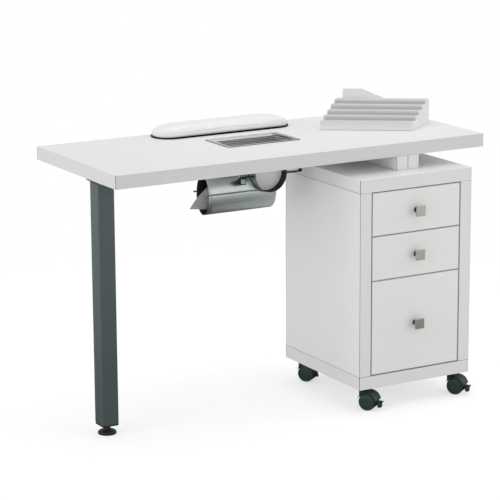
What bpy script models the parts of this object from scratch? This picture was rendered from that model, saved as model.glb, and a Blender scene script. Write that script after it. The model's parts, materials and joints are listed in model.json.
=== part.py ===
"""Manicure table: a laminate worktop on one steel leg and a castored drawer cabinet, with a dust extractor.

Every mesh is drawn in table coordinates: u runs right from the worktop's left end, v runs back from its front
edge and z runs up from the floor. add() moves it into the world, whose origin is the middle of the footprint.
"""

import math

import bmesh
import bpy
from mathutils import Matrix, Vector

GAP = 0.0003

TOP_LENGTH = 1.200
TOP_DEPTH = 0.500
TOP_HEIGHT = 0.760
BOARD = 0.038
EDGE_ROUND = 0.0008

LEG_LEFT = 0.001
LEG_SIDE = 0.050
LEG_WALL = 0.002
LEG_SETBACK = 0.112
LEG_BOTTOM = 0.0305
LEG_PLATE_SIDE = 0.100
LEG_PLATE_THICK = 0.005

FOOT_RADIUS = 0.026
STUD_RADIUS = 0.004
STUD_TOP = 0.060

CABINET_LEFT = 0.730
CABINET_WIDTH = 0.380
CABINET_DEPTH = 0.410
CABINET_PROUD = 0.070
CABINET_BOTTOM = 0.067
CABINET_TOP = 0.681
BACK_PANEL = 0.016
SPACER_LEFT = 0.898

DRAWER_GAP = 0.003
DRAWER_SPLITS = (0.384, 0.514)
DRAWER_FRONT = 0.018
DRAWER_WALL = 0.012
DRAWER_FLOOR = 0.008
DRAWER_BOX_DEPTH = 0.350
RUNNER_SPACE = 0.013
RUNNER_HEIGHT = 0.020
RUNNER_WALL = 0.0022
RIB_HEIGHT = 0.012
RIB_DEPTH = 0.0095
KNOB_SIDE = 0.030
KNOB_PLATE = 0.006
KNOB_PROJECTION = 0.025
KNOB_STEM_RADIUS = 0.006

CASTOR_INSET = 0.036
CASTOR_TRAIL = 0.018
CASTOR_TURN = math.radians(-54.0)
WHEEL_RADIUS = 0.025
WHEEL_INNER = 0.0043
WHEEL_OUTER = 0.0215
AXLE_RADIUS = 0.003
HOOD_INNER = 0.0268
HOOD_OUTER = 0.0293
HOOD_HALF_WIDTH = 0.022
CASTOR_PLATE_SIDE = 0.042
LEVER_PIVOT = (0.0315, -0.007)

TUBE_LEFT = 0.382
TUBE_RIGHT = 0.606
TUBE_V = 0.217
TUBE_Z = 0.626
TUBE_HALF_DEPTH = 0.037
TUBE_HALF_HEIGHT = 0.057
SHEET = 0.0015
SEAM_Z = 0.631
SEAM_HALF = 0.0003
PIN_V = 0.2575
PIN_RADIUS = 0.002
KNUCKLE_RADIUS = 0.0045
LOWER_KNUCKLES = ((0.3950, 0.4150), (0.5050, 0.5250))
UPPER_KNUCKLES = ((0.4153, 0.4353), (0.4847, 0.5047))
MOTOR_Z = 0.599
MOTOR_RADIUS = 0.020
FAN_RADIUS = 0.024
FAN_U = (0.5280, 0.5480)
SHAFT_RADIUS = 0.002
BLADES = 10

INTAKE_U = 0.5745
TROUGH_RADIUS = 0.052
TROUGH_Z = 0.6765
TROUGH_FRONT = 0.160
TROUGH_BACK = 0.2585
LIP_Z = 0.6745
LIP_REACH = 0.103
LIP_BACK = 0.178
SWITCH_FRONT = 0.163
SWITCH_Z = 0.6645
HOPPER_BOTTOM = 0.6838
HOPPER_FLANGE = 0.012
GRILLE_LENGTH = 0.240
GRILLE_DEPTH = 0.140
GRILLE_FRONT = 0.195
GRILLE_BORDER = 0.012
CUTOUT_MARGIN = 0.008
SLATS = 5
SLAT_WIDTH = 0.018
SLAT_THICK = 0.0014
SLAT_TILT = math.radians(-32.0)

ARMREST_LEFT = 0.345
ARMREST_LENGTH = 0.445
ARMREST_FRONT = 0.391
ARMREST_DEPTH = 0.106
ARMREST_BASE = 0.004
ARMREST_HEIGHT = 0.045

RACK_CORNER = Vector((0.825, 0.303))
RACK_TURN = math.radians(-35.4)
RACK_LENGTH = 0.275
RACK_TREAD = 0.0322
RACK_TREAD_TURN = math.radians(38.7)
RACK_TIERS = 5
RACK_FIRST_RISE = 0.026
RACK_RISE = 0.0113
RACK_WALL = 0.003

UNDERSIDE = TOP_HEIGHT - BOARD
CABINET_FRONT = -CABINET_PROUD
CABINET_RIGHT = CABINET_LEFT + CABINET_WIDTH
CABINET_BACK = CABINET_FRONT + CABINET_DEPTH
FRONTMOST = CABINET_FRONT - KNOB_PROJECTION
TO_WORLD = Vector((-TOP_LENGTH / 2, -(TOP_DEPTH + FRONTMOST) / 2, 0.0))


# --- materials and objects ---


def finish(name, colour, roughness, metallic=0.0):
    """The Principled material of this name, made on first use."""
    material = bpy.data.materials.get(name)
    if material is None:
        material = bpy.data.materials.new(name)
        material.use_nodes = True
        shader = material.node_tree.nodes["Principled BSDF"]
        shader.inputs["Base Color"].default_value = (*colour, 1.0)
        shader.inputs["Roughness"].default_value = roughness
        shader.inputs["Metallic"].default_value = metallic
        material.diffuse_color = (*colour, 1.0)
    return material


def laminate():
    return finish("white_laminate", (0.86, 0.86, 0.85), 0.45)


def painted_steel():
    return finish("slate_painted_steel", (0.10, 0.14, 0.14), 0.42, 0.3)


def black_plastic():
    return finish("black_plastic", (0.012, 0.013, 0.013), 0.5)


def castor_plastic():
    return finish("slate_castor_plastic", (0.045, 0.075, 0.07), 0.5)


def brushed_steel():
    return finish("brushed_steel", (0.55, 0.57, 0.57), 0.3, 1.0)


def polished_steel():
    return finish("polished_steel", (0.72, 0.73, 0.74), 0.14, 1.0)


def zinc():
    return finish("zinc_plated_steel", (0.6, 0.61, 0.62), 0.35, 1.0)


def nickel():
    return finish("satin_nickel", (0.55, 0.54, 0.51), 0.28, 1.0)


def drawer_board():
    return finish("drawer_board", (0.78, 0.78, 0.76), 0.55)


def white_plastic():
    return finish("white_moulded_plastic", (0.83, 0.83, 0.82), 0.38)


def add(name, mesh, material, pivot=None, parent=None):
    """A node from a mesh in table coordinates, with its origin on its joint's axis."""
    pivot = Vector(pivot) if pivot is not None else Vector((0.0, 0.0, 0.0))
    mesh.transform(Matrix.Translation(-pivot))
    mesh.materials.clear()
    mesh.materials.append(material)
    mesh.shade_smooth()
    mesh.set_sharp_from_angle(angle=math.radians(35))
    node = bpy.data.objects.new(name, mesh)
    node.location = pivot + TO_WORLD
    node.parent = parent
    bpy.context.scene.collection.objects.link(node)
    return node


# --- shapes ---


def to_mesh(shape):
    bmesh.ops.recalc_face_normals(shape, faces=shape.faces)
    mesh = bpy.data.meshes.new("shape")
    shape.to_mesh(mesh)
    shape.free()
    return mesh


def box(low, high, rounding=0.0):
    shape = bmesh.new()
    bmesh.ops.create_cube(shape, size=1.0)
    low = Vector(low)
    high = Vector(high)
    size = high - low
    bmesh.ops.scale(shape, vec=size, verts=shape.verts)
    bmesh.ops.translate(shape, vec=(low + high) / 2, verts=shape.verts)
    if rounding:
        bmesh.ops.bevel(shape, geom=shape.edges[:], offset=rounding, segments=1, profile=0.5, affect="EDGES")
    return to_mesh(shape)


def in_space(axis, a, b, along):
    """The point with these two coordinates across the axis and this one along it."""
    return {"u": Vector((along, a, b)), "v": Vector((a, along, b)), "z": Vector((a, b, along))}[axis]


def prism(outline, axis, start, end):
    """The outline, pairs across the axis, carried from start to end along it."""
    shape = bmesh.new()
    ends = [[shape.verts.new(in_space(axis, a, b, along)) for a, b in outline] for along in (start, end)]
    for ring in ends:
        shape.faces.new(ring)
    for i in range(len(outline)):
        j = (i + 1) % len(outline)
        shape.faces.new((ends[0][i], ends[0][j], ends[1][j], ends[1][i]))
    return to_mesh(shape)


def loft(rings):
    """Rings of equal count joined into one closed skin, with flat ends."""
    shape = bmesh.new()
    loops = [[shape.verts.new(point) for point in ring] for ring in rings]
    shape.faces.new(loops[0])
    shape.faces.new(loops[-1])
    for lower, upper in zip(loops, loops[1:]):
        for i in range(len(lower)):
            j = (i + 1) % len(lower)
            shape.faces.new((lower[i], lower[j], upper[j], upper[i]))
    return to_mesh(shape)


def turned(profile, segments, axis="z", centre=(0.0, 0.0), offset=0.0):
    """A closed profile of (radius, height) pairs turned about the axis; a radius of zero is a pole."""
    shape = bmesh.new()
    loops = []
    for radius, height in profile:
        if radius == 0.0:
            loops.append([shape.verts.new(in_space(axis, *centre, height + offset))])
            continue
        angles = [2 * math.pi * i / segments for i in range(segments)]
        across = [(centre[0] + radius * math.cos(t), centre[1] + radius * math.sin(t)) for t in angles]
        loops.append([shape.verts.new(in_space(axis, a, b, height + offset)) for a, b in across])
    for first, second in zip(loops, loops[1:] + loops[:1]):
        if len(first) == 1 and len(second) == 1:
            continue
        for i in range(segments):
            j = (i + 1) % segments
            near = [first[i % len(first)], first[j % len(first)]]
            far = [second[j % len(second)], second[i % len(second)]]
            shape.faces.new(list(dict.fromkeys(near + far)))
    return to_mesh(shape)


def rod(axis, centre, radius, start, end, segments=16):
    return turned(((0.0, start), (radius, start), (radius, end), (0.0, end)), segments, axis, centre)


def arc(centre, radius, start, end, steps):
    """Points on an arc, with angles in degrees; the radius is one number, or a pair for an ellipse."""
    across, up = radius if isinstance(radius, tuple) else (radius, radius)
    angles = [math.radians(start + (end - start) * i / steps) for i in range(steps + 1)]
    return [(centre[0] + across * math.cos(t), centre[1] + up * math.sin(t)) for t in angles]


def combined(mesh, others, operation):
    """The mesh after a Boolean with each of the others in turn."""
    body = bpy.data.objects.new("body", mesh)
    bpy.context.scene.collection.objects.link(body)
    helpers = []
    for other in others:
        helper = bpy.data.objects.new("helper", other)
        helper.hide_render = True
        helper.display_type = "WIRE"
        bpy.context.scene.collection.objects.link(helper)
        helpers.append(helper)
        modifier = body.modifiers.new("join", "BOOLEAN")
        modifier.operation = operation
        modifier.solver = "EXACT"
        modifier.object = helper
    bpy.context.view_layer.update()
    evaluated = body.evaluated_get(bpy.context.evaluated_depsgraph_get())
    result = bpy.data.meshes.new_from_object(evaluated)
    for item in [body, *helpers]:
        bpy.data.objects.remove(item, do_unlink=True)
    return result


def cut(mesh, *others):
    return combined(mesh, others, "DIFFERENCE")


def united(mesh, *others):
    return combined(mesh, others, "UNION")


def rounded_outline(low, high, radius, steps=6):
    """A rectangle with round corners, anticlockwise."""
    corners = (
        ((high[0] - radius, low[1] + radius), -90),
        ((high[0] - radius, high[1] - radius), 0),
        ((low[0] + radius, high[1] - radius), 90),
        ((low[0] + radius, low[1] + radius), 180),
    )
    return [point for centre, start in corners for point in arc(centre, radius, start, start + 90, steps)]


# --- worktop and leg ---


def cutout():
    """The opening in the worktop under the grille, as its low and high corners in u and v."""
    half = GRILLE_LENGTH / 2 - CUTOUT_MARGIN
    low = (INTAKE_U - half, GRILLE_FRONT + CUTOUT_MARGIN)
    high = (INTAKE_U + half, GRILLE_FRONT + GRILLE_DEPTH - CUTOUT_MARGIN)
    return low, high


def make_worktop():
    board = box((0.0, 0.0, UNDERSIDE), (TOP_LENGTH, TOP_DEPTH, TOP_HEIGHT), EDGE_ROUND)
    low, high = cutout()
    opening = box((*low, UNDERSIDE - 0.01), (*high, TOP_HEIGHT + 0.01))
    add("table_top", cut(board, opening), laminate())


def make_leg():
    low = (LEG_LEFT, LEG_SETBACK)
    high = (LEG_LEFT + LEG_SIDE, LEG_SETBACK + LEG_SIDE)
    plate_top = UNDERSIDE - GAP
    plate_bottom = plate_top - LEG_PLATE_THICK
    middle = LEG_SETBACK + LEG_SIDE / 2
    half = LEG_PLATE_SIDE / 2
    plate_left = LEG_LEFT + 0.002
    plate = box(
        (plate_left, middle - half, plate_bottom),
        (plate_left + LEG_PLATE_SIDE, middle + half, plate_top),
        0.0005,
    )
    add("leg_mount_plate", plate, painted_steel())

    tube_top = plate_bottom - GAP
    tube = prism(rounded_outline(low, high, 0.003, 3), "z", LEG_BOTTOM, tube_top)
    inner_low = (low[0] + LEG_WALL, low[1] + LEG_WALL)
    inner_high = (high[0] - LEG_WALL, high[1] - LEG_WALL)
    bore = prism(rounded_outline(inner_low, inner_high, 0.0015, 2), "z", LEG_BOTTOM - 0.01, tube_top + 0.01)
    add("leg_tube", cut(tube, bore), painted_steel())
    make_leg_end(low, high)


def make_leg_end(low, high):
    """The plastic end cap in the tube, and the foot whose threaded stud runs through it."""
    centre = ((low[0] + high[0]) / 2, (low[1] + high[1]) / 2)
    rim = 0.0005
    flange_low = (low[0] + rim, low[1] + rim)
    flange_high = (high[0] - rim, high[1] - rim)
    flange = prism(rounded_outline(flange_low, flange_high, 0.003, 3), "z", 0.026, LEG_BOTTOM - GAP)
    inset = LEG_WALL + 0.0006
    plug_low = (low[0] + inset, low[1] + inset)
    plug_high = (high[0] - inset, high[1] - inset)
    plug = prism(rounded_outline(plug_low, plug_high, 0.0015, 2), "z", 0.029, 0.0465)
    hole = rod("z", centre, STUD_RADIUS + 0.0006, 0.02, 0.06)
    add("leg_end_cap", cut(united(flange, plug), hole), black_plastic())

    profile = (
        (0.0, 0.0),
        (FOOT_RADIUS - 0.0015, 0.0),
        (FOOT_RADIUS, 0.0015),
        (FOOT_RADIUS, 0.005),
        (0.020, 0.0085),
        (0.010, 0.0105),
        (0.009, 0.018),
        (STUD_RADIUS, 0.018),
        (STUD_RADIUS, STUD_TOP),
        (0.0, STUD_TOP),
    )
    foot = turned(profile, 28, "z", centre)
    add("levelling_foot", foot, black_plastic(), pivot=(*centre, 0.0))


# --- cabinet ---


def make_cabinet():
    left, right = CABINET_LEFT, CABINET_RIGHT
    front, back = CABINET_FRONT, CABINET_BACK
    floor_top = CABINET_BOTTOM + BOARD
    lid_bottom = CABINET_TOP - BOARD
    side_low = floor_top + GAP
    side_high = lid_bottom - GAP
    panels = {
        "cabinet_bottom_panel": ((left, front, CABINET_BOTTOM), (right, back, floor_top)),
        "cabinet_top_panel": ((left, front, lid_bottom), (right, back, CABINET_TOP)),
        "cabinet_left_side": ((left, front, side_low), (left + BOARD, back, side_high)),
        "cabinet_right_side": ((right - BOARD, front, side_low), (right, back, side_high)),
        "cabinet_back_panel": (
            (left + BOARD + GAP, back - BACK_PANEL, side_low),
            (right - BOARD - GAP, back, side_high),
        ),
    }
    for name, (low, high) in panels.items():
        add(name, box(low, high, EDGE_ROUND), laminate())
    for name, start in (("spacer_board_left", SPACER_LEFT), ("spacer_board_right", SPACER_LEFT + BOARD)):
        low = (start + GAP / 2, 0.0, CABINET_TOP + GAP)
        high = (start + BOARD - GAP / 2, CABINET_BACK, UNDERSIDE - GAP)
        add(name, box(low, high, 0.0005), laminate())


def runner_outline(wall, inward):
    """A channel open towards the drawer, from the cabinet wall, in u and z about its own middle height."""
    depth = (RUNNER_SPACE - 2 * GAP) * inward
    half = RUNNER_HEIGHT / 2
    back = wall + GAP * inward
    web = RUNNER_WALL * inward
    return [
        (back, -half),
        (back + depth, -half),
        (back + depth, -half + RUNNER_WALL),
        (back + web, -half + RUNNER_WALL),
        (back + web, half - RUNNER_WALL),
        (back + depth, half - RUNNER_WALL),
        (back + depth, half),
        (back, half),
    ]


def make_drawer(label, low_z, high_z, box_height):
    """One drawer: its front, its box with a rib on each side, its knob and the two runners in the cabinet."""
    opening_left = CABINET_LEFT + BOARD
    opening_right = CABINET_RIGHT - BOARD
    pivot = ((opening_left + opening_right) / 2, CABINET_FRONT, (low_z + high_z) / 2)
    back_face = CABINET_FRONT + DRAWER_FRONT
    front = box(
        (opening_left + DRAWER_GAP, CABINET_FRONT, low_z),
        (opening_right - DRAWER_GAP, back_face, high_z),
        EDGE_ROUND,
    )
    add(f"{label}_drawer_front", front, laminate(), pivot)

    box_left = opening_left + RUNNER_SPACE
    box_right = opening_right - RUNNER_SPACE
    box_front = back_face + GAP
    box_back = box_front + DRAWER_BOX_DEPTH
    box_low = low_z + 0.008
    box_high = box_low + box_height
    rail_z = box_low + 0.030
    outer = box((box_left, box_front, box_low), (box_right, box_back, box_high))
    inner = box(
        (box_left + DRAWER_WALL, box_front + DRAWER_WALL, box_low + DRAWER_FLOOR),
        (box_right - DRAWER_WALL, box_back - DRAWER_WALL, box_high + 0.01),
    )
    ribs = [
        box(
            (low_u, box_front + 0.012, rail_z - RIB_HEIGHT / 2),
            (high_u, box_back - 0.01, rail_z + RIB_HEIGHT / 2),
        )
        for low_u, high_u in (
            (box_left - RIB_DEPTH, box_left + 0.002),
            (box_right - 0.002, box_right + RIB_DEPTH),
        )
    ]
    add(f"{label}_drawer_box", united(cut(outer, inner), *ribs), drawer_board(), pivot)

    for side, wall, inward in (("left", opening_left, 1), ("right", opening_right, -1)):
        outline = [(u, z + rail_z) for u, z in runner_outline(wall, inward)]
        runner = prism(outline, "v", CABINET_FRONT + DRAWER_FRONT + 0.006, CABINET_BACK - BACK_PANEL - 0.002)
        add(f"{label}_drawer_runner_{side}", runner, zinc())
    make_knob(label, pivot)


def make_knob(label, pivot):
    u, _, z = pivot
    half = KNOB_SIDE / 2
    plate_back = FRONTMOST + KNOB_PLATE
    plate = box((u - half, FRONTMOST, z - half), (u + half, plate_back, z + half), 0.0006)
    stem = rod("v", (u, z), KNOB_STEM_RADIUS, plate_back - 0.001, CABINET_FRONT - GAP, 20)
    add(f"{label}_drawer_knob", united(plate, stem), nickel(), pivot)


def make_drawers():
    floor_top = CABINET_BOTTOM + BOARD + DRAWER_GAP
    ceiling = CABINET_TOP - BOARD - DRAWER_GAP
    half = DRAWER_GAP / 2
    make_drawer("bottom", floor_top, DRAWER_SPLITS[0] - half, 0.225)
    make_drawer("middle", DRAWER_SPLITS[0] + half, DRAWER_SPLITS[1] - half, 0.085)
    make_drawer("top", DRAWER_SPLITS[1] + half, ceiling, 0.085)


# --- castors ---


def castor_plate():
    """The fixed plate and the race that the housing turns under, about the swivel axis."""
    half = CASTOR_PLATE_SIDE / 2
    top = CABINET_BOTTOM - GAP
    plate = prism(rounded_outline((-half, -half), (half, half), 0.006, 3), "z", top - 0.0024, top)
    race = rod("z", (0.0, 0.0), 0.015, 0.0600, top - 0.0012, 20)
    return united(plate, race)


def castor_housing():
    """The hood over both wheels with its middle web, axle and brake lug, about the wheel axis."""
    hood_end = 9
    band = prism(
        arc((0.0, 0.0), HOOD_OUTER, hood_end, 152, 14) + arc((0.0, 0.0), HOOD_INNER, 152, hood_end, 14),
        "v",
        -HOOD_HALF_WIDTH,
        HOOD_HALF_WIDTH,
    )
    boss_low = 0.014
    boss_high = 0.0597 - WHEEL_RADIUS
    boss = rod("z", (-CASTOR_TRAIL, 0.0), 0.012, boss_low, boss_high, 20)
    rings = [
        rod("v", (0.0, 0.0), HOOD_INNER - 0.0002, side * WHEEL_INNER - side * 0.0008, side * 0.03, 28)
        for side in (-1, 1)
    ]
    web_half = WHEEL_INNER - 0.0009
    web = prism(
        arc((0.0, 0.0), HOOD_INNER + 0.001, hood_end, 152, 12)
        + arc((0.0, 0.0), 0.007, 180, 300, 5)
        + [(0.029, -0.0105), (0.0335, -0.0105), (0.0335, -0.0035)],
        "v",
        -web_half,
        web_half,
    )
    axle = rod("v", (0.0, 0.0), AXLE_RADIUS, -0.0195, 0.0195, 12)
    body = cut(united(band, boss), *rings)
    return united(body, web, axle, rod("v", LEVER_PIVOT, 0.0015, -0.0085, 0.0085, 10))


def castor_wheel(side):
    """A hooded wheel with a blind bore for the axle, on the given side of the web."""
    bore = AXLE_RADIUS + 0.0004
    profile = (
        (bore, WHEEL_INNER),
        (WHEEL_RADIUS - 0.0015, WHEEL_INNER),
        (WHEEL_RADIUS, WHEEL_INNER + 0.0015),
        (WHEEL_RADIUS, WHEEL_OUTER - 0.0025),
        (WHEEL_RADIUS - 0.003, WHEEL_OUTER),
        (0.0, WHEEL_OUTER),
        (0.0, WHEEL_OUTER - 0.0015),
        (bore, WHEEL_OUTER - 0.0015),
    )
    return turned([(radius, height * side) for radius, height in profile], 26, "v")


def brake_lever():
    """A saddle over the housing's lug, with a foot tab, about the wheel axis."""
    body = box((0.0280, -0.0075, -0.0160), (0.0385, 0.0075, 0.0025))
    slot = box((0.0200, -0.0038, -0.0300), (0.0345, 0.0038, 0.0100))
    hole = rod("v", LEVER_PIVOT, 0.0019, -0.02, 0.02, 10)
    tab = box((0.0365, -0.0090, -0.0005), (0.0430, 0.0090, 0.0025))
    return united(cut(body, slot, hole), tab)


def make_castors():
    left = CABINET_LEFT + CASTOR_INSET
    right = CABINET_RIGHT - CASTOR_INSET
    front = CABINET_FRONT + CASTOR_INSET
    back = CABINET_BACK - CASTOR_INSET
    places = {
        "front_left": (left, front),
        "front_right": (right, front),
        "back_left": (left, back),
        "back_right": (right, back),
    }
    plate = castor_plate()
    housing = castor_housing()
    wheels = {"inner": castor_wheel(1), "outer": castor_wheel(-1)}
    lever = brake_lever()
    lever.transform(Matrix.Translation((-LEVER_PIVOT[0], 0.0, -LEVER_PIVOT[1])))
    for corner, (u, v) in places.items():
        swivel = bpy.data.objects.new(f"{corner}_castor_swivel", None)
        swivel.location = Vector((u, v, 0.0)) + TO_WORLD
        swivel.rotation_euler = (0.0, 0.0, CASTOR_TURN)
        bpy.context.scene.collection.objects.link(swivel)
        wheel_axis = (CASTOR_TRAIL, 0.0, WHEEL_RADIUS)
        fixed = add(f"{corner}_castor_plate", plate.copy(), zinc())
        fixed.location = swivel.location
        turning = [
            (f"{corner}_castor_housing", housing, castor_plastic(), wheel_axis),
            (f"{corner}_castor_wheel_inner", wheels["inner"], castor_plastic(), wheel_axis),
            (f"{corner}_castor_wheel_outer", wheels["outer"], castor_plastic(), wheel_axis),
        ]
        if corner.startswith("front"):
            hinge = (CASTOR_TRAIL + LEVER_PIVOT[0], 0.0, WHEEL_RADIUS + LEVER_PIVOT[1])
            turning.append((f"{corner}_brake_lever", lever, castor_plastic(), hinge))
        for name, mesh, material, place in turning:
            node = add(name, mesh.copy(), material, parent=swivel)
            node.location = place


# --- dust extractor ---


def tube_section(half_depth, half_height, start, end, steps=24):
    return arc((TUBE_V, TUBE_Z), (half_depth, half_height), start, end, steps)


def half_shell(start, end, left, right):
    """Half of the elliptical casing as a bent sheet, between two angles in degrees."""
    inner_depth = TUBE_HALF_DEPTH - SHEET
    inner_height = TUBE_HALF_HEIGHT - SHEET
    outline = tube_section(TUBE_HALF_DEPTH, TUBE_HALF_HEIGHT, start, end)
    outline += tube_section(inner_depth, inner_height, end, start)
    return prism(outline, "u", left, right)


def trough_space():
    """What the shells leave clear for the intake trough."""
    return rod("v", (INTAKE_U, TROUGH_Z), TROUGH_RADIUS + 0.0005, 0.10, 0.34, 48)


def knuckles(spans, radius, spare=0.0):
    return [rod("u", (PIN_V, SEAM_Z), radius, start - spare, end + spare, 16) for start, end in spans]


def pin_bore():
    return rod("u", (PIN_V, SEAM_Z), PIN_RADIUS + 0.0004, 0.30, 0.65, 12)


def make_shells():
    """The upper shell hangs from the worktop and the lower one swings down on the pin along its back seam."""
    seam = math.degrees(math.asin((SEAM_Z + SEAM_HALF - TUBE_Z) / TUBE_HALF_HEIGHT))
    upper = half_shell(seam, 180 - seam, TUBE_LEFT, INTAKE_U)
    bracket = box((0.397, TUBE_V - 0.012, 0.6820), (0.411, TUBE_V + 0.012, UNDERSIDE - GAP))
    upper = united(upper, bracket, *knuckles(UPPER_KNUCKLES, KNUCKLE_RADIUS))
    upper = cut(upper, trough_space(), pin_bore(), *knuckles(LOWER_KNUCKLES, KNUCKLE_RADIUS + 0.0005, 0.0001))
    add("extractor_upper_shell", upper, brushed_steel())

    seam = math.degrees(math.asin((SEAM_Z - SEAM_HALF - TUBE_Z) / TUBE_HALF_HEIGHT))
    lower = half_shell(180 - seam, 360 + seam, TUBE_LEFT, TUBE_RIGHT)
    end_wall = prism(
        tube_section(TUBE_HALF_DEPTH - 0.0005, TUBE_HALF_HEIGHT - 0.0005, 180 - seam, 360 + seam),
        "u",
        TUBE_RIGHT - SHEET,
        TUBE_RIGHT,
    )
    lower = united(lower, end_wall, *knuckles(LOWER_KNUCKLES, KNUCKLE_RADIUS))
    lower = cut(lower, trough_space(), pin_bore(), *knuckles(UPPER_KNUCKLES, KNUCKLE_RADIUS + 0.0005, 0.0001))
    hinge = (INTAKE_U, PIN_V, SEAM_Z)
    add("extractor_lower_shell", lower, brushed_steel(), pivot=hinge)
    pin = rod("u", (PIN_V, SEAM_Z), PIN_RADIUS, TUBE_LEFT - 0.008, 0.5290, 12)
    add("extractor_hinge_pin", pin, painted_steel())


def make_intake():
    """The hopper under the grille, the half-round trough below it and the plate set back in its front."""
    low, high = cutout()
    wall = SHEET
    spread = 0.003
    outer_low = (low[0] - spread, low[1] - spread)
    outer_high = (high[0] + spread, high[1] + spread)
    top = UNDERSIDE - GAP
    flange = box(
        (outer_low[0] - HOPPER_FLANGE, outer_low[1] - HOPPER_FLANGE, top - wall),
        (outer_high[0] + HOPPER_FLANGE, outer_high[1] + HOPPER_FLANGE, top),
    )
    pan = box((*outer_low, HOPPER_BOTTOM), (*outer_high, top))
    inside = box(
        (outer_low[0] + wall, outer_low[1] + wall, HOPPER_BOTTOM + wall),
        (outer_high[0] - wall, outer_high[1] - wall, top + 0.01),
    )
    half = TROUGH_RADIUS - SHEET
    outlet = box(
        (INTAKE_U - half, 0.2010, HOPPER_BOTTOM - 0.01),
        (INTAKE_U + half, 0.2560, HOPPER_BOTTOM + 0.01),
    )
    add("intake_hopper", cut(united(flange, pan), inside, outlet), brushed_steel())

    trough_top = HOPPER_BOTTOM - GAP
    centre = (INTAKE_U, TROUGH_Z)
    outer = [(INTAKE_U - TROUGH_RADIUS, trough_top)]
    outer += arc(centre, TROUGH_RADIUS, 180, 360, 32)
    outer += [(INTAKE_U + TROUGH_RADIUS, trough_top)]
    inner = [(INTAKE_U + half, trough_top)]
    inner += arc(centre, half, 360, 180, 32)
    inner += [(INTAKE_U - half, trough_top)]
    trough = prism(outer + inner, "v", TROUGH_FRONT, TROUGH_BACK)
    back_wall = prism(outer, "v", TROUGH_BACK - SHEET, TROUGH_BACK)
    lips = []
    for side in (-1, 1):
        near = INTAKE_U + side * (TROUGH_RADIUS - 0.001)
        far = INTAKE_U + side * LIP_REACH
        start, end = sorted((near, far))
        lips.append(box((start, TROUGH_FRONT, LIP_Z), (end, LIP_BACK, LIP_Z + SHEET)))
        tip_start, tip_end = sorted((far, far - side * SHEET))
        lips.append(box((tip_start, TROUGH_FRONT, LIP_Z), (tip_end, LIP_BACK, LIP_Z + 0.008)))
    port = box((INTAKE_U - 0.060, 0.1960, 0.6400), (INTAKE_U - 0.030, 0.2440, 0.6700))
    add("intake_trough", cut(united(trough, back_wall, *lips), port), brushed_steel())

    inset = half - 0.0005
    plate = [(INTAKE_U - inset, trough_top - 0.0002)] + arc(centre, inset, 180, 360, 24)
    plate += [(INTAKE_U + inset, trough_top - 0.0002)]
    add("intake_front_plate", prism(plate, "v", 0.1860, 0.1880), laminate())


def make_fan():
    centre = (TUBE_V, MOTOR_Z)
    can = rod("u", centre, MOTOR_RADIUS, 0.5560, TUBE_RIGHT - SHEET - GAP, 24)
    shaft = rod("u", centre, SHAFT_RADIUS, 0.5320, 0.5570, 10)
    add("fan_motor", united(can, shaft), painted_steel())

    bore = SHAFT_RADIUS + 0.0004
    disc = FAN_U[1] - 0.0015
    profile = (
        (bore, FAN_U[0]),
        (0.006, FAN_U[0]),
        (0.006, disc),
        (FAN_RADIUS, disc),
        (FAN_RADIUS, FAN_U[1]),
        (bore, FAN_U[1]),
    )
    hub = turned(profile, 20, "u", centre)
    blades = []
    for i in range(BLADES):
        blade = box((FAN_U[0], 0.0050, -0.0006), (disc + 0.0005, FAN_RADIUS - 0.0005, 0.0006))
        turn = Matrix.Rotation(2 * math.pi * i / BLADES, 4, "X")
        blade.transform(Matrix.Translation((0.0, *centre)) @ turn)
        blades.append(blade)
    fan = united(hub, *blades)
    add("fan_wheel", fan, white_plastic(), pivot=(FAN_U[0], *centre))


def make_filter_bag():
    """The soft bag in the open end of the casing, with its drawn-out tail hanging outside."""
    rings = []
    stations = (
        (0.470, 0.022, 0.032, 0.622),
        (0.455, 0.029, 0.041, 0.622),
        (0.420, 0.030, 0.043, 0.622),
        (0.392, 0.028, 0.036, 0.620),
        (0.378, 0.020, 0.026, 0.614),
        (0.360, 0.010, 0.014, 0.603),
        (0.341, 0.002, 0.003, 0.593),
    )
    for u, half_depth, half_height, z in stations:
        ring = arc((TUBE_V, z), (half_depth, half_height), 0, 360, 18)[:-1]
        rings.append([Vector((u, *point)) for point in ring])
    fabric = finish("filter_fabric", (0.34, 0.36, 0.36), 0.9)
    add("filter_bag", loft(rings), fabric, pivot=(TUBE_LEFT, TUBE_V, TUBE_Z))


def make_switch():
    """The switch box under the trough's left lip, its inlet for the supply lead, and its rocker."""
    left = INTAKE_U - LIP_REACH + 0.0020
    right = left + 0.0200
    shell = box((left, SWITCH_FRONT, 0.6545), (right, 0.1775, LIP_Z - GAP))
    well = box((left + 0.0030, SWITCH_FRONT - 0.01, 0.6575), (right - 0.0030, SWITCH_FRONT + 0.0070, 0.6715))
    gland = rod("u", (0.1715, 0.6635), 0.0035, left - 0.0090, left + 0.0020, 14)
    add("switch_box", cut(united(shell, gland), well), black_plastic())

    middle = (left + right) / 2
    half = 0.0066
    profile = [(-0.0040, -0.0062), (0.0045, -0.0062), (0.0045, 0.0062), (-0.0012, 0.0062), (-0.0020, 0.0)]
    rocker = prism([(SWITCH_FRONT + a, SWITCH_Z + b) for a, b in profile], "u", middle - half, middle + half)
    add("rocker_switch", rocker, white_plastic(), pivot=(middle, SWITCH_FRONT + 0.0020, SWITCH_Z))


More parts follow.
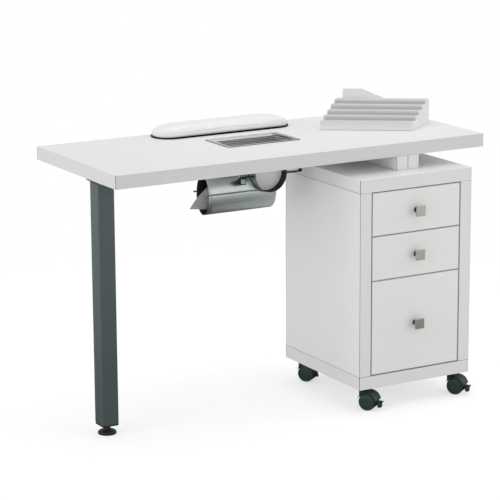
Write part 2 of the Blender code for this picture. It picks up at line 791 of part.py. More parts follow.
def make_grille():
    """A steel frame lying on the worktop, a skirt in the cut-out and slanted slats between its ends."""
    low, high = cutout()
    half = GRILLE_LENGTH / 2
    floor = TOP_HEIGHT + GAP
    top = floor + 0.0015
    back = GRILLE_FRONT + GRILLE_DEPTH
    flange = box((INTAKE_U - half, GRILLE_FRONT, floor), (INTAKE_U + half, back, top))
    skirt = box((low[0] + 0.0005, low[1] + 0.0005, 0.7480), (high[0] - 0.0005, high[1] - 0.0005, top))
    border = GRILLE_BORDER
    opening_low = (INTAKE_U - half + border, GRILLE_FRONT + border)
    opening_high = (INTAKE_U + half - border, back - border)
    opening = box((*opening_low, 0.74), (*opening_high, 0.77))
    frame = cut(united(flange, skirt), opening)
    span = opening_high[1] - opening_low[1]
    slats = []
    for i in range(SLATS):
        v = opening_low[1] + span * (i + 0.5) / SLATS
        slat = box(
            (opening_low[0] - 0.001, -SLAT_WIDTH / 2, -SLAT_THICK / 2),
            (opening_high[0] + 0.001, SLAT_WIDTH / 2, SLAT_THICK / 2),
        )
        slat.transform(Matrix.Translation((0.0, v, 0.7545)) @ Matrix.Rotation(SLAT_TILT, 4, "X"))
        slats.append(slat)
    add("extractor_grille", united(frame, *slats), polished_steel(), pivot=(INTAKE_U, GRILLE_FRONT, floor))


# --- loose pieces on the worktop ---


def pad_ring(inset, z):
    low = (ARMREST_LEFT + inset, ARMREST_FRONT + inset)
    high = (ARMREST_LEFT + ARMREST_LENGTH - inset, ARMREST_FRONT + ARMREST_DEPTH - inset)
    radius = 0.048 - inset
    return [Vector((u, v, z)) for u, v in rounded_outline(low, high, radius, 7)]


def make_armrest():
    floor = TOP_HEIGHT + GAP
    board_top = floor + ARMREST_BASE
    pivot = (ARMREST_LEFT, ARMREST_FRONT, floor)
    add("armrest_base", loft([pad_ring(0.0, floor), pad_ring(0.0, board_top)]), black_plastic(), pivot)
    base = board_top + GAP
    rise = TOP_HEIGHT + ARMREST_HEIGHT - base
    levels = ((0.003, 0.0), (0.0, 0.30), (0.002, 0.55), (0.009, 0.80), (0.020, 0.94), (0.034, 1.0))
    rings = [pad_ring(inset, base + rise * share) for inset, share in levels]
    leather = finish("white_padded_vinyl", (0.84, 0.84, 0.83), 0.5)
    add("armrest_pad", loft(rings), leather, pivot)


def rack_prism(profile, start, end):
    """A profile of (depth in treads, height) pairs carried along the rack's length from start to end."""
    along = Vector((math.cos(RACK_TURN), math.sin(RACK_TURN)))
    inward = Vector((math.cos(RACK_TREAD_TURN), math.sin(RACK_TREAD_TURN))) * RACK_TREAD
    rings = []
    for distance in (start, end):
        corner = RACK_CORNER + along * distance
        plan = [corner + inward * depth for depth, _ in profile]
        rings.append([Vector((*point, z)) for point, (_, z) in zip(plan, profile)])
    return loft(rings)


def make_rack():
    """Five tiers open underneath, with a low header along the left of the back."""
    floor = TOP_HEIGHT + GAP
    tops = [floor + RACK_FIRST_RISE + RACK_RISE * i for i in range(RACK_TIERS)]
    outside = [(0.0, floor)]
    inside = [(0.10, floor - 0.01)]
    for i, top in enumerate(tops):
        outside += [(i, top), (i + 1, top)]
        end = i + 1.10 if i + 1 < RACK_TIERS else i + 0.90
        inside += [(i + 0.10, top - RACK_WALL), (end, top - RACK_WALL)]
    outside.append((RACK_TIERS, floor))
    inside.append((RACK_TIERS - 0.10, floor - 0.01))
    body = rack_prism(outside, 0.0, RACK_LENGTH)
    hollow = rack_prism(inside, RACK_WALL, RACK_LENGTH - RACK_WALL)
    header = rack_header(tops[-1])
    add("polish_rack", united(cut(body, hollow), header), white_plastic(), pivot=(*RACK_CORNER, floor))


def rack_header(base):
    along = Vector((math.cos(RACK_TURN), math.sin(RACK_TURN)))
    inward = Vector((math.cos(RACK_TREAD_TURN), math.sin(RACK_TREAD_TURN))) * RACK_TREAD
    corners = ((0.016, base - 0.001), (0.143, base - 0.001), (0.074, base + 0.028), (0.016, base + 0.028))
    rings = []
    for depth in (RACK_TIERS - 0.12, RACK_TIERS - 0.005):
        plan = [RACK_CORNER + along * distance + inward * depth for distance, _ in corners]
        rings.append([Vector((*point, z)) for point, (_, z) in zip(plan, corners)])
    return loft(rings)


def main():
    for item in list(bpy.data.objects):
        bpy.data.objects.remove(item, do_unlink=True)
    make_worktop()
    make_leg()
    make_cabinet()
    make_drawers()
    make_castors()
    make_shells()
    make_intake()
    make_fan()
    make_filter_bag()
    make_switch()
    make_grille()
    make_armrest()
    make_rack()


main()
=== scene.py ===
"""Manicure table: finished surfaces for a laminate salon table with drawers, castors and a dust extractor.

Every new piece is a surface worked out as a grid of points: a profile turned about an axis, a section carried
along a path, or rings stacked into a skin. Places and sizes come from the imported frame.
"""

import json
import math

import bmesh
import bpy
import numpy as np
from bpy.props import FloatProperty, FloatVectorProperty, PointerProperty
from mathutils import Matrix, Vector


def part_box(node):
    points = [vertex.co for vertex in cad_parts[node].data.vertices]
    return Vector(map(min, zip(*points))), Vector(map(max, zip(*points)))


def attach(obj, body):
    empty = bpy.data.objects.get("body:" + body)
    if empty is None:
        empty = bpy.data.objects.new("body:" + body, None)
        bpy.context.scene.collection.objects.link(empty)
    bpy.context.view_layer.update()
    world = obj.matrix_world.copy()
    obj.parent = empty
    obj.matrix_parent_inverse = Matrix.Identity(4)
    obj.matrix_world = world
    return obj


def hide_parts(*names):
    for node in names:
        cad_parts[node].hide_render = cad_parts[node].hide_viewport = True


bl_info = {
    "name": "Manicure Table",
    "version": (1, 0, 0),
    "blender": (4, 5, 0),
    "location": "3D View > Sidebar > Table",
    "description": "Builds the finished surfaces of a manicure table around its frame",
    "category": "Object",
}

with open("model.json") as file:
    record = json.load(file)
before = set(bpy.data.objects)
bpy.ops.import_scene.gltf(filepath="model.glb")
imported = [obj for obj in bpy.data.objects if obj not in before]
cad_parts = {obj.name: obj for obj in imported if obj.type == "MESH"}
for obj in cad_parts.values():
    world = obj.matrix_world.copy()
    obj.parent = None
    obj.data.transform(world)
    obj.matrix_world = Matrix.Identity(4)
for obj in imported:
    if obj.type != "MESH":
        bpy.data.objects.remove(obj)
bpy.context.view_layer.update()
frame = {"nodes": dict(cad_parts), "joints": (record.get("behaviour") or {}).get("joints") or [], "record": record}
SLOT_COLOURS = {entry["slot"]: tuple(entry["base_color"]) for entry in frame["record"]["materials"]}
JOINTS = {joint["name"]: joint for joint in frame["joints"]}

X = np.array((1.0, 0.0, 0.0))
Y = np.array((0.0, 1.0, 0.0))
Z = np.array((0.0, 0.0, 1.0))
HAIR = 0.00012
CORNERS = ("front_left", "front_right", "back_left", "back_right")
DRAWERS = ("top", "middle", "bottom")

SHEET = 0.0013
CASING_HALF_DEPTH = 0.037
CASING_HALF_HEIGHT = 0.057
TROUGH_RADIUS = 0.052
LIP_RISE = 0.0075
PIN_RADIUS = 0.002
WHEEL_RADIUS = 0.025
WHEEL_INNER = 0.0043
WHEEL_OUTER = 0.0215
HOOD_RADIUS = 0.0293
HOOD_WALL = 0.0025
HOOD_HALF_WIDTH = 0.022
# Depths behind a drawer front's face between which its rim gets painted shade.
GAP_SHADE_START = 0.0006
GAP_SHADE_END = 0.0035


# --- points and skins ---


class Skin:
    """The points and faces of one surface, and three values at each point: edge, 1 on an arris, the edge band's
    painted shade value, 1 on an edge band, and joint, 1 where it meets another board, where painted shade of the
    gap goes."""

    def __init__(self, points, faces, edge=0.0, strip=0.0, joint=0.0):
        self.points = np.asarray(points, float).reshape(-1, 3)
        self.faces = faces
        self.edge = np.broadcast_to(np.asarray(edge, float), len(self.points))
        self.strip = np.full(len(self.points), strip)
        self.joint = np.broadcast_to(np.asarray(joint, float), len(self.points))


def unit(vector):
    """The vector, or each row of vectors, divided by its own length."""
    vector = np.asarray(vector, float)
    return vector / np.linalg.norm(vector, axis=-1, keepdims=True)


def across(axis):
    """Two unit vectors square to the axis and to each other, right-handed with it."""
    helper = Z if abs(unit(axis)[2]) < 0.9 else X
    first = unit(np.cross(helper, axis))
    return first, unit(np.cross(axis, first))


def quads(rows, columns, join_rows=False, join_columns=False):
    """The quads of a grid of points; either direction may close on itself."""
    row, column = np.meshgrid(
        np.arange(rows if join_rows else rows - 1),
        np.arange(columns if join_columns else columns - 1),
        indexing="ij",
    )
    next_row = (row + 1) % rows * columns
    next_column = (column + 1) % columns
    row = row * columns
    return np.stack([row + column, row + next_column, next_row + next_column, next_row + column], -1)


def net(points, keep=None, join_columns=False, **values):
    """An open surface over a grid of points; keep says which quads stay."""
    faces = quads(*points.shape[:2], join_columns=join_columns)
    faces = faces.reshape(-1, 4) if keep is None else faces[keep]
    return Skin(points, faces.tolist(), **values)


def stack(rings, joined=False, caps=True, **values):
    """Closed rings, an array of (rings, points, 3), skinned in order. The ends get flat caps, or meet."""
    count, around = rings.shape[:2]
    faces = quads(count, around, joined, True).reshape(-1, 4).tolist()
    if caps and not joined:
        faces.append(list(range(around))[::-1])
        faces.append(list(range((count - 1) * around, count * around)))
    return Skin(rings, faces, **values)


def arc(centre, radius, start, end, steps):
    """Points on an arc between two angles in degrees; the radius is one number, or a pair for an ellipse."""
    turn = np.radians(np.linspace(start, end, steps + 1))
    return np.asarray(centre) + np.column_stack([np.cos(turn), np.sin(turn)]) * radius


def softened(points, reach, steps=5, closed=False):
    """A path whose corners are replaced by parabolas that start and end a reach away from them."""
    points = np.asarray(points, float)
    before = unit(np.roll(points, 1, axis=0) - points) * reach
    after = unit(np.roll(points, -1, axis=0) - points) * reach
    share = np.linspace(0.0, 1.0, steps + 1)[None, :, None]
    curve = (1 - share) ** 2 * (points + before)[:, None]
    curve = curve + 2 * share * (1 - share) * points[:, None] + share**2 * (points + after)[:, None]
    if closed:
        return curve.reshape(-1, points.shape[1])
    return np.concatenate([points[:1], curve[1:-1].reshape(-1, points.shape[1]), points[-1:]])


def prism(outline, axis, start, end, **values):
    """A flat outline, pairs across the axis, carried from start to end along it."""
    outline = np.asarray(outline, float)
    first, second = {"x": (1, 2), "y": (0, 2), "z": (0, 1)}[axis]
    rings = np.empty((2, len(outline), 3))
    rings[..., first] = outline[:, 0]
    rings[..., second] = outline[:, 1]
    rings[..., "xyz".index(axis)] = np.array([[start], [end]])
    return stack(rings, **values)


def turned(profile, centre, axis, around=48, joined=False, ripple=None):
    """A profile of (radius, height) pairs turned about the axis. Ripple scales the radius at each ring and
    angle."""
    profile = np.asarray(profile, float)
    axis = unit(axis)
    first, second = across(axis)
    turn = np.arange(around) * 2 * math.pi / around
    radius = np.repeat(profile[:, :1], around, axis=1)
    if ripple is not None:
        radius = radius * ripple(profile[:, 1:2], turn[None, :])
    spoke = np.cos(turn)[:, None] * first + np.sin(turn)[:, None] * second
    rings = np.asarray(centre) + profile[:, 1, None, None] * axis + radius[..., None] * spoke
    return stack(rings, joined)


def swept(path, section, up, joined=False):
    """A closed section of (sideways, upward) pairs carried along a path; sideways is the path's way crossed
    with up."""
    path = np.asarray(path, float)
    if joined:
        along = np.roll(path, -1, axis=0) - np.roll(path, 1, axis=0)
    else:
        along = np.gradient(path, axis=0)
    side = unit(np.cross(along, up))
    section = np.asarray(section, float)
    rings = path[:, None] + side[:, None] * section[None, :, :1] + np.asarray(up) * section[None, :, 1:]
    return stack(rings, joined)


def corner_ring(half, radius, inset=0.0, margin=0.0, steps=3):
    """A round-cornered rectangle about the origin, anticlockwise: at each corner a quarter circle between two
    points that stand a margin back from it."""
    half = np.asarray(half, float)
    left = max(radius - inset, 0.0)
    turn = np.linspace(0.0, math.pi / 2, steps + 1)[None, :, None]
    start = np.array([[0.0, -1.0], [1.0, 0.0], [0.0, 1.0], [-1.0, 0.0]])
    end = np.roll(start, -1, axis=0)
    reach_start = np.abs(start @ half)[:, None]
    reach_end = np.abs(end @ half)[:, None]
    curve = start[:, None] * ((reach_start - inset - left)[..., None] + left * np.cos(turn))
    curve = curve + end[:, None] * ((reach_end - inset - left)[..., None] + left * np.sin(turn))
    back_start = np.minimum(max(margin, inset), 0.9 * reach_start)
    back_end = np.minimum(max(margin, inset), 0.9 * reach_end)
    before = start * (reach_start - inset) + end * (reach_end - back_end)
    after = start * (reach_start - back_start) + end * (reach_end - inset)
    return np.concatenate([before[:, None], curve, after[:, None]], axis=1).reshape(-1, 2)


def rounding(radius, margin, steps=3):
    """Pairs of (inset, rise) from a margin inside a face, round its arris and a margin up the next face."""
    turn = np.linspace(0.0, math.pi / 2, steps + 1)
    inset = np.concatenate([[margin], radius * (1 - np.sin(turn)), [0.0]])
    rise = np.concatenate([[0.0], radius * (1 - np.cos(turn)), [margin]])
    return np.column_stack([inset, rise])


def level(outline, height):
    """A plan's points raised to one height."""
    return np.column_stack([outline, np.full(len(outline), height)])


def nearness(points, low, high, margin):
    """1 on a box's arris, falling to 0 a margin away: a surface point's second smallest distance to a
    side."""
    gaps = np.sort(np.abs(np.concatenate([points - low, points - high], axis=-1)), axis=-1)
    return np.clip(1.0 - gaps[..., 1] / margin, 0.0, 1.0)


def near_sides(points, low, high, sides, reach):
    """1 at the points of a net within reach of any of the named sides of a box, such as 'z-'."""
    planes = {"-": low, "+": high}
    gaps = [
        np.abs(points[..., "xyz".index(side[0])] - planes[side[1]]["xyz".index(side[0])]) for side in sides
    ]
    return (np.min(gaps, axis=0) < reach).astype(float) if sides else np.zeros(points.shape[:2])


def slab(low, high, radius=0.0008, margin=0.003, strip=0.0, joints=(), corner_joint_shade=0.0):
    """A box with quarter-round arrises, as round-cornered rectangles stacked from bottom to top."""
    low = np.asarray(low, float)
    high = np.asarray(high, float)
    half = (high - low) / 2
    thin = half.min()
    radius = min(radius, 0.45 * thin)
    climb = rounding(radius, min(margin, 0.9 * thin))
    climb[-1, 1] = min(margin, 0.9 * half[2])
    levels = np.concatenate([climb[:, 1] - half[2], half[2] - climb[::-1, 1]])
    insets = np.concatenate([climb[:, 0], climb[::-1, 0]])
    plans = np.stack([corner_ring(half[:2], radius, inset, margin) for inset in insets])
    heights = np.broadcast_to(levels[:, None, None], (*plans.shape[:2], 1))
    rings = np.concatenate([plans, heights], axis=-1) + (low + high) / 2
    # Where painted shade goes: the sides that meet another board, and the bands' upright corners.
    joint = np.maximum(
        near_sides(rings, low, high, joints, min(margin, 0.9 * thin) / 2),
        corner_joint_shade * near_corners(rings, low, high),
    )
    joint[[0, -1]] = 0.0
    return stack(rings, edge=nearness(rings, low, high, margin).ravel(), strip=strip, joint=joint.ravel())


def near_corners(points, low, high):
    """1 within 2 mm of a board's upright corners."""
    gaps = np.minimum(np.abs(points - low), np.abs(points - high))[..., :2]
    return (gaps.max(axis=-1) < 0.002).astype(float)


def banded(low, high, sides, meets=(), strip=0.3, thickness=0.0013):
    """A board's core with an edge band glued to each named side, such as 'y-', and the sides where it meets
    another board. Earlier bands run full width; the bands carry painted shade at the strength given, and a line of
    painted shade at the board's upright corners."""
    low = np.array(low, float)
    high = np.array(high, float)
    skins = []
    for side in sides:
        axis = "xyz".index(side[0])
        strip_low, strip_high = low.copy(), high.copy()
        if side[1] == "-":
            strip_high[axis] = low[axis] + thickness
            low[axis] += thickness + HAIR
        else:
            strip_low[axis] = high[axis] - thickness
            high[axis] -= thickness + HAIR
        skins.append(slab(strip_low, strip_high, 0.0004, strip=strip, joints=meets, corner_joint_shade=1.0))
    return [slab(low, high, 0.0003, joints=meets), *skins]


# --- pieces ---


def corners(node):
    """The low and high corners of a frame node's box."""
    low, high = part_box(node)
    return np.array(low), np.array(high)


def make(
    name, skins, finish, body, replaces=(),
    wall=0.0, bevel=0.0, flat_faces=False, crease=35.0, lining=None,
):
    """One piece from its skins: doubles merged, normals turned out, shaded smooth up to the crease angle. A
    lining is the finish of a sheet's inner face."""
    skins = skins if isinstance(skins, list) else [skins]
    starts = np.cumsum([0] + [len(skin.points) for skin in skins])
    faces = [
        [corner + int(start) for corner in face] for skin, start in zip(skins, starts) for face in skin.faces
    ]
    mesh = bpy.data.meshes.new(name)
    mesh.from_pydata(np.concatenate([skin.points for skin in skins]).tolist(), [], faces)
    for label in ("edge", "strip", "joint"):
        layer = mesh.attributes.new(label, "FLOAT", "POINT")
        values = np.concatenate([getattr(skin, label) for skin in skins])
        layer.data.foreach_set("value", values.astype(np.float32))
    tidy = bmesh.new()
    tidy.from_mesh(mesh)
    bmesh.ops.remove_doubles(tidy, verts=tidy.verts, dist=2e-6)
    bmesh.ops.recalc_face_normals(tidy, faces=tidy.faces)
    tidy.to_mesh(mesh)
    tidy.free()
    mesh.shade_smooth()
    mesh.set_sharp_from_angle(angle=math.radians(crease))
    mesh.materials.append(finish)
    piece = bpy.data.objects.new(name, mesh)
    bpy.context.scene.collection.objects.link(piece)
    if wall:
        thicken = piece.modifiers.new("wall", "SOLIDIFY")
        thicken.thickness = wall
        thicken.offset = 0.0
        # The lining goes on the sheet's inner face and its rims; the casing's lining is near black, painted shade.
        if lining:
            mesh.materials.append(lining)
            thicken.material_offset = 1
            thicken.material_offset_rim = 1
    if bevel:
        soften = piece.modifiers.new("arris", "BEVEL")
        soften.width = bevel
        soften.segments = 2
        soften.limit_method = "ANGLE"
        soften.angle_limit = math.radians(38.0)
        soften.harden_normals = True
    if flat_faces:
        piece.modifiers.new("flat faces", "WEIGHTED_NORMAL").keep_sharp = True
    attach(piece, body)
    if replaces:
        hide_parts(*replaces)
    return piece


def cover(nodes, finish):
    """Gives carried-over nodes of the frame their finish."""
    for name in nodes:
        mesh = frame["nodes"][name].data
        mesh.materials.clear()
        mesh.materials.append(finish)


def screw(place, axis, radius=0.0035, rise=0.0016):
    """A pan head with a cross recess: its height is a dome less the depth of two crossing bars."""
    axis = unit(axis)
    first, second = across(axis)
    share = np.concatenate([[0.0], np.linspace(0.12, 0.94, 9), [1.0, 1.0]])[:, None]
    turn = np.linspace(0.0, 2 * math.pi, 33)[None, :-1]
    a = share * np.cos(turn)
    b = share * np.sin(turn)
    bars = np.maximum(
        (np.abs(a) < 0.13) & (np.abs(b) < 0.58),
        (np.abs(b) < 0.13) & (np.abs(a) < 0.58),
    )
    height = np.sqrt(np.clip(1 - 0.78 * share**2, 0, 1)) - 0.62 * bars
    height = height * np.ones_like(a)
    height[-1] = 0.0
    points = np.asarray(place) + radius * (a[..., None] * first + b[..., None] * second)
    points = points + rise * height[..., None] * axis
    return stack(points[::-1])


# --- finishes ---


def add_node(tree, kind, links=None, **settings):
    """A shader node with its settings, and its inputs linked to sockets or set to values."""
    node = tree.nodes.new(kind)
    for name, value in settings.items():
        setattr(node, name, value)
    for name, value in (links or {}).items():
        if isinstance(value, bpy.types.NodeSocket):
            tree.links.new(value, node.inputs[name])
        else:
            node.inputs[name].default_value = value
    return node


def new_group(name, inputs, output):
    """An empty node group with float or vector inputs and one float output, and its two end nodes."""
    tree = bpy.data.node_groups.new(name, "ShaderNodeTree")
    for label, value in inputs.items():
        kind = "NodeSocketVector" if isinstance(value, tuple) else "NodeSocketFloat"
        tree.interface.new_socket(name=label, in_out="INPUT", socket_type=kind).default_value = value
    tree.interface.new_socket(name=output, in_out="OUTPUT", socket_type="NodeSocketFloat")
    return tree, tree.nodes.new("NodeGroupInput").outputs, tree.nodes.new("NodeGroupOutput").inputs


def spread(tree, value, low, high, to_low=0.0, to_high=1.0):
    """The value stretched from one range to another and held inside it."""
    links = {"Value": value, 1: low, 2: high, 3: to_low, 4: to_high}
    return add_node(tree, "ShaderNodeMapRange", links).outputs["Result"]


def times(tree, first, second):
    """The product of two values."""
    return add_node(tree, "ShaderNodeMath", {0: first, 1: second}, operation="MULTIPLY").outputs[0]


def surface_value(tree, name):
    """A value that a piece carries at its points."""
    return add_node(tree, "ShaderNodeAttribute", attribute_name=name).outputs["Fac"]


def grain_group():
    """Fine surface grain: two noises in object space, one several times finer than the other."""
    tree, given, result = new_group("Surface Grain", {"Size": 0.001, "Fine Share": 0.4}, "Height")
    place = add_node(tree, "ShaderNodeTexCoord").outputs["Object"]
    scale = add_node(tree, "ShaderNodeMath", {0: 1.0, 1: given["Size"]}, operation="DIVIDE").outputs[0]
    finer = times(tree, scale, 3.7)
    coarse = add_node(tree, "ShaderNodeTexNoise", {"Vector": place, "Scale": scale, "Detail": 2.0})
    fine = add_node(tree, "ShaderNodeTexNoise", {"Vector": place, "Scale": finer, "Detail": 1.0})
    mixed = add_node(
        tree, "ShaderNodeMix", {0: given["Fine Share"], 2: coarse.outputs[0], 3: fine.outputs[0]}
    )
    tree.links.new(mixed.outputs[0], result["Height"])
    return tree


def streak_group():
    """Brushed lines: a noise squeezed across the brushing and drawn out along it."""
    tree, given, result = new_group("Brushed Lines", {"Stretch": (60.0, 2500.0, 2500.0)}, "Height")
    place = add_node(tree, "ShaderNodeTexCoord").outputs["Object"]
    drawn = add_node(tree, "ShaderNodeVectorMath", {0: place, 1: given["Stretch"]}, operation="MULTIPLY")
    lines = add_node(tree, "ShaderNodeTexNoise", {"Vector": drawn.outputs[0], "Scale": 1.0, "Detail": 3.0})
    tree.links.new(lines.outputs[0], result["Height"])
    return tree


def handling_group():
    """Smudges and uneven tone: a slow warped noise, 0 where the surface is clean."""
    tree, given, result = new_group("Handling Marks", {"Size": 0.2, "Cover": 0.5}, "Mask")
    place = add_node(tree, "ShaderNodeTexCoord").outputs["Object"]
    scale = add_node(tree, "ShaderNodeMath", {0: 1.0, 1: given["Size"]}, operation="DIVIDE").outputs[0]
    marks = add_node(
        tree, "ShaderNodeTexNoise", {"Vector": place, "Scale": scale, "Detail": 5.0, "Distortion": 0.8}
    )
    low = add_node(tree, "ShaderNodeMath", {0: 0.75, 1: given["Cover"]}, operation="SUBTRACT").outputs[0]
    tree.links.new(spread(tree, marks.outputs[0], low, 0.75), result["Mask"])
    return tree


def arris_group():
    """Wear along arrises: the piece's edge value, broken up by a noise."""
    tree, given, result = new_group("Arris Wear", {"Width": 0.6, "Broken": 0.5}, "Mask")
    place = add_node(tree, "ShaderNodeTexCoord").outputs["Object"]
    edge = add_node(tree, "ShaderNodeAttribute", attribute_name="edge").outputs["Fac"]
    chips = add_node(tree, "ShaderNodeTexNoise", {"Vector": place, "Scale": 90.0, "Detail": 6.0}).outputs[0]
    chips = times(tree, chips, given["Broken"])
    held = add_node(tree, "ShaderNodeMath", {0: edge, 1: chips}, operation="SUBTRACT").outputs[0]
    start = add_node(tree, "ShaderNodeMath", {0: 1.0, 1: given["Width"]}, operation="SUBTRACT").outputs[0]
    tree.links.new(spread(tree, held, start, 1.0), result["Mask"])
    return tree


def dust_group():
    """Settled dust: patchy, and only where the surface faces up."""
    tree, given, result = new_group("Settled Dust", {"Size": 0.03}, "Mask")
    place = add_node(tree, "ShaderNodeTexCoord").outputs["Object"]
    scale = add_node(tree, "ShaderNodeMath", {0: 1.0, 1: given["Size"]}, operation="DIVIDE").outputs[0]
    patch = add_node(tree, "ShaderNodeTexNoise", {"Vector": place, "Scale": scale, "Detail": 8.0}).outputs[0]
    normal = add_node(tree, "ShaderNodeNewGeometry").outputs["Normal"]
    upward = add_node(tree, "ShaderNodeSeparateXYZ", {0: normal}).outputs["Z"]
    upward = spread(tree, upward, 0.3, 0.95)
    patch = spread(tree, patch, 0.45, 0.75)
    both = times(tree, upward, patch)
    tree.links.new(both, result["Mask"])
    return tree


GROUPS = {
    "Surface Grain": grain_group,
    "Brushed Lines": streak_group,
    "Handling Marks": handling_group,
    "Arris Wear": arris_group,
    "Settled Dust": dust_group,
}


def effect(tree, name, links):
    """One of the shared effects, placed in a material with its own values."""
    node = tree.nodes.new("ShaderNodeGroup")
    node.node_tree = bpy.data.node_groups.get(name) or GROUPS[name]()
    for label, value in links.items():
        node.inputs[label].default_value = value
    return node.outputs[0]


def tint(tree, base, colour, mask, strength):
    """The base colour moved towards another one by the mask."""
    share = times(tree, mask, strength)
    links = {0: share, 6: base, 7: (*colour, 1.0)}
    return add_node(tree, "ShaderNodeMix", links, data_type="RGBA").outputs[2]


class Finish:
    """A Principled material under construction: its tree, its shader and the colour and roughness so far."""

    def __init__(self, name, colour, roughness, **sockets):
        self.material = bpy.data.materials.new(f"{name}_finish")
        self.material.use_nodes = True
        self.material.diffuse_color = (*colour, 1.0)
        self.tree = self.material.node_tree
        self.shader = self.tree.nodes["Principled BSDF"]
        self.colour = (*colour, 1.0)
        self.roughness = roughness
        for label, value in sockets.items():
            self.shader.inputs[label.replace("_", " ")].default_value = value

    def shade(self, mask, colour, strength):
        """Mixes the colour in by the strength where the mask is 1."""
        self.colour = tint(self.tree, self.colour, colour, mask, strength)

    def polish(self, mask, change):
        """Moves the roughness by the change where the mask is 1."""
        scaled = times(self.tree, mask, change)
        total = add_node(self.tree, "ShaderNodeMath", {0: scaled, 1: self.roughness}, operation="ADD")
        self.roughness = total.outputs[0]

    def emboss(self, height, depth, strength=0.5):
        """A bump whose full height is the depth in metres."""
        links = {"Height": height, "Distance": depth, "Strength": strength}
        if self.shader.inputs["Normal"].is_linked:
            links["Normal"] = self.shader.inputs["Normal"].links[0].from_socket
        bump = add_node(self.tree, "ShaderNodeBump", links)
        self.tree.links.new(bump.outputs[0], self.shader.inputs["Normal"])

    def done(self):
        """Links or sets the colour and the roughness, and hands over the material."""
        for label, value in (("Base Color", self.colour), ("Roughness", self.roughness)):
            if isinstance(value, bpy.types.NodeSocket):
                self.tree.links.new(value, self.shader.inputs[label])
            else:
                self.shader.inputs[label].default_value = value
        return self.material


def laminate():
    """White melamine: a shallow pearl texture, slow tone changes, painted shade on the edge bands, and painted
    shade in the gaps where boards meet.
    """
    made = Finish("white_laminate", colours().laminate, 0.36, Specular_IOR_Level=0.45)
    marks = effect(made.tree, "Handling Marks", {"Size": 0.33, "Cover": 0.45})
    dust = effect(made.tree, "Settled Dust", {"Size": 0.02})
    grain = effect(made.tree, "Surface Grain", {"Size": 0.0016, "Fine Share": 0.3})
    worn = effect(made.tree, "Arris Wear", {"Width": 0.5, "Broken": 0.7})
    strip = surface_value(made.tree, "strip")
    made.shade(marks, (0.80, 0.80, 0.785), 0.35)
    # Painted shade: the edge bands darker, fully on the worktop and less on the other boards.
    made.shade(strip, (0.60, 0.60, 0.59), 0.60)
    made.shade(worn, (0.62, 0.61, 0.58), 0.25)
    made.shade(dust, (0.74, 0.73, 0.70), 0.10)
    # Painted shade: a near-black line in the gaps where boards meet and round the drawer fronts.
    joint = surface_value(made.tree, "joint")
    made.shade(spread(made.tree, joint, 0.80, 0.95), (0.03, 0.029, 0.027), 0.92)
    made.polish(marks, 0.10)
    made.polish(strip, 0.06)
    made.polish(grain, 0.08)
    made.emboss(grain, 0.00006, 0.45)
    return made.done()


def drawer_board():
    """Pale foil on thin board, with a faint printed texture drawn out along the board."""
    made = Finish("drawer_board", colours().drawer_board, 0.5)
    lines = effect(made.tree, "Brushed Lines", {"Stretch": (900.0, 30.0, 900.0)})
    marks = effect(made.tree, "Handling Marks", {"Size": 0.12, "Cover": 0.5})
    made.shade(lines, (0.66, 0.65, 0.62), 0.35)
    made.shade(marks, (0.60, 0.59, 0.56), 0.20)
    made.polish(lines, 0.12)
    made.emboss(lines, 0.00004, 0.4)
    return made.done()


def powder_coat():
    """Slate powder coat: orange peel, faint metallic flecks and slightly lighter rubbed arrises."""
    made = Finish("slate_painted_steel", colours().leg, 0.34, Specular_IOR_Level=0.55, Coat_Roughness=0.25)
    made.shader.inputs["Coat Weight"].default_value = 0.25
    peel = effect(made.tree, "Surface Grain", {"Size": 0.0013, "Fine Share": 0.25})
    marks = effect(made.tree, "Handling Marks", {"Size": 0.09, "Cover": 0.5})
    worn = effect(made.tree, "Arris Wear", {"Width": 0.45, "Broken": 0.8})
    place = add_node(made.tree, "ShaderNodeTexCoord").outputs["Object"]
    flecks = add_node(
        made.tree, "ShaderNodeTexVoronoi", {"Vector": place, "Scale": 1500.0}
    ).outputs["Distance"]
    flecks = spread(made.tree, flecks, 0.22, 0.05)
    made.shade(marks, (0.075, 0.105, 0.105), 0.4)
    made.shade(flecks, (0.20, 0.25, 0.25), 0.22)
    made.shade(worn, (0.22, 0.25, 0.25), 0.35)
    made.polish(marks, 0.10)
    made.polish(peel, 0.08)
    made.emboss(peel, 0.00012, 0.5)
    return made.done()


def moulded(name, colour, roughness, texture, lighter):
    """Moulded plastic: a spark-eroded texture, handling marks and pale rubbed arrises."""
    made = Finish(name, colour, roughness, Specular_IOR_Level=0.45)
    grain = effect(made.tree, "Surface Grain", {"Size": texture, "Fine Share": 0.55})
    marks = effect(made.tree, "Handling Marks", {"Size": 0.05, "Cover": 0.55})
    dust = effect(made.tree, "Settled Dust", {"Size": 0.012})
    worn = effect(made.tree, "Arris Wear", {"Width": 0.5, "Broken": 0.6})
    made.shade(marks, lighter, 0.22)
    made.shade(dust, lighter, 0.20)
    made.shade(worn, lighter, 0.45)
    made.polish(marks, 0.12)
    made.polish(grain, 0.10)
    made.emboss(grain, texture * 0.12, 0.5)
    return made.done()


def black_plastic():
    """Black moulded plastic with a fine grain."""
    return moulded("black_plastic", colours().black, 0.42, 0.0006, (0.04, 0.042, 0.043))


def castor_nylon():
    """Slate nylon with a slightly coarser grain."""
    return moulded("slate_castor_plastic", colours().castor, 0.36, 0.0008, (0.05, 0.08, 0.075))


def white_plastic():
    """The rack's plastic, with painted shade that makes it greyer towards the foot of each riser."""
    made = Finish("white_moulded_plastic", colours().rack, 0.34, Specular_IOR_Level=0.45)
    grain = effect(made.tree, "Surface Grain", {"Size": 0.0009, "Fine Share": 0.55})
    marks = effect(made.tree, "Handling Marks", {"Size": 0.05, "Cover": 0.55})
    riser_shade = surface_value(made.tree, "strip")
    made.shade(marks, (0.66, 0.66, 0.645), 0.3)
    # Painted shade on the risers and treads, darkest where a tread meets the next riser.
    made.shade(spread(made.tree, riser_shade, 0.10, 1.0), (0.36, 0.36, 0.35), 0.70)
    made.polish(marks, 0.12)
    made.polish(grain, 0.10)
    made.emboss(grain, 0.0001, 0.5)
    return made.done()


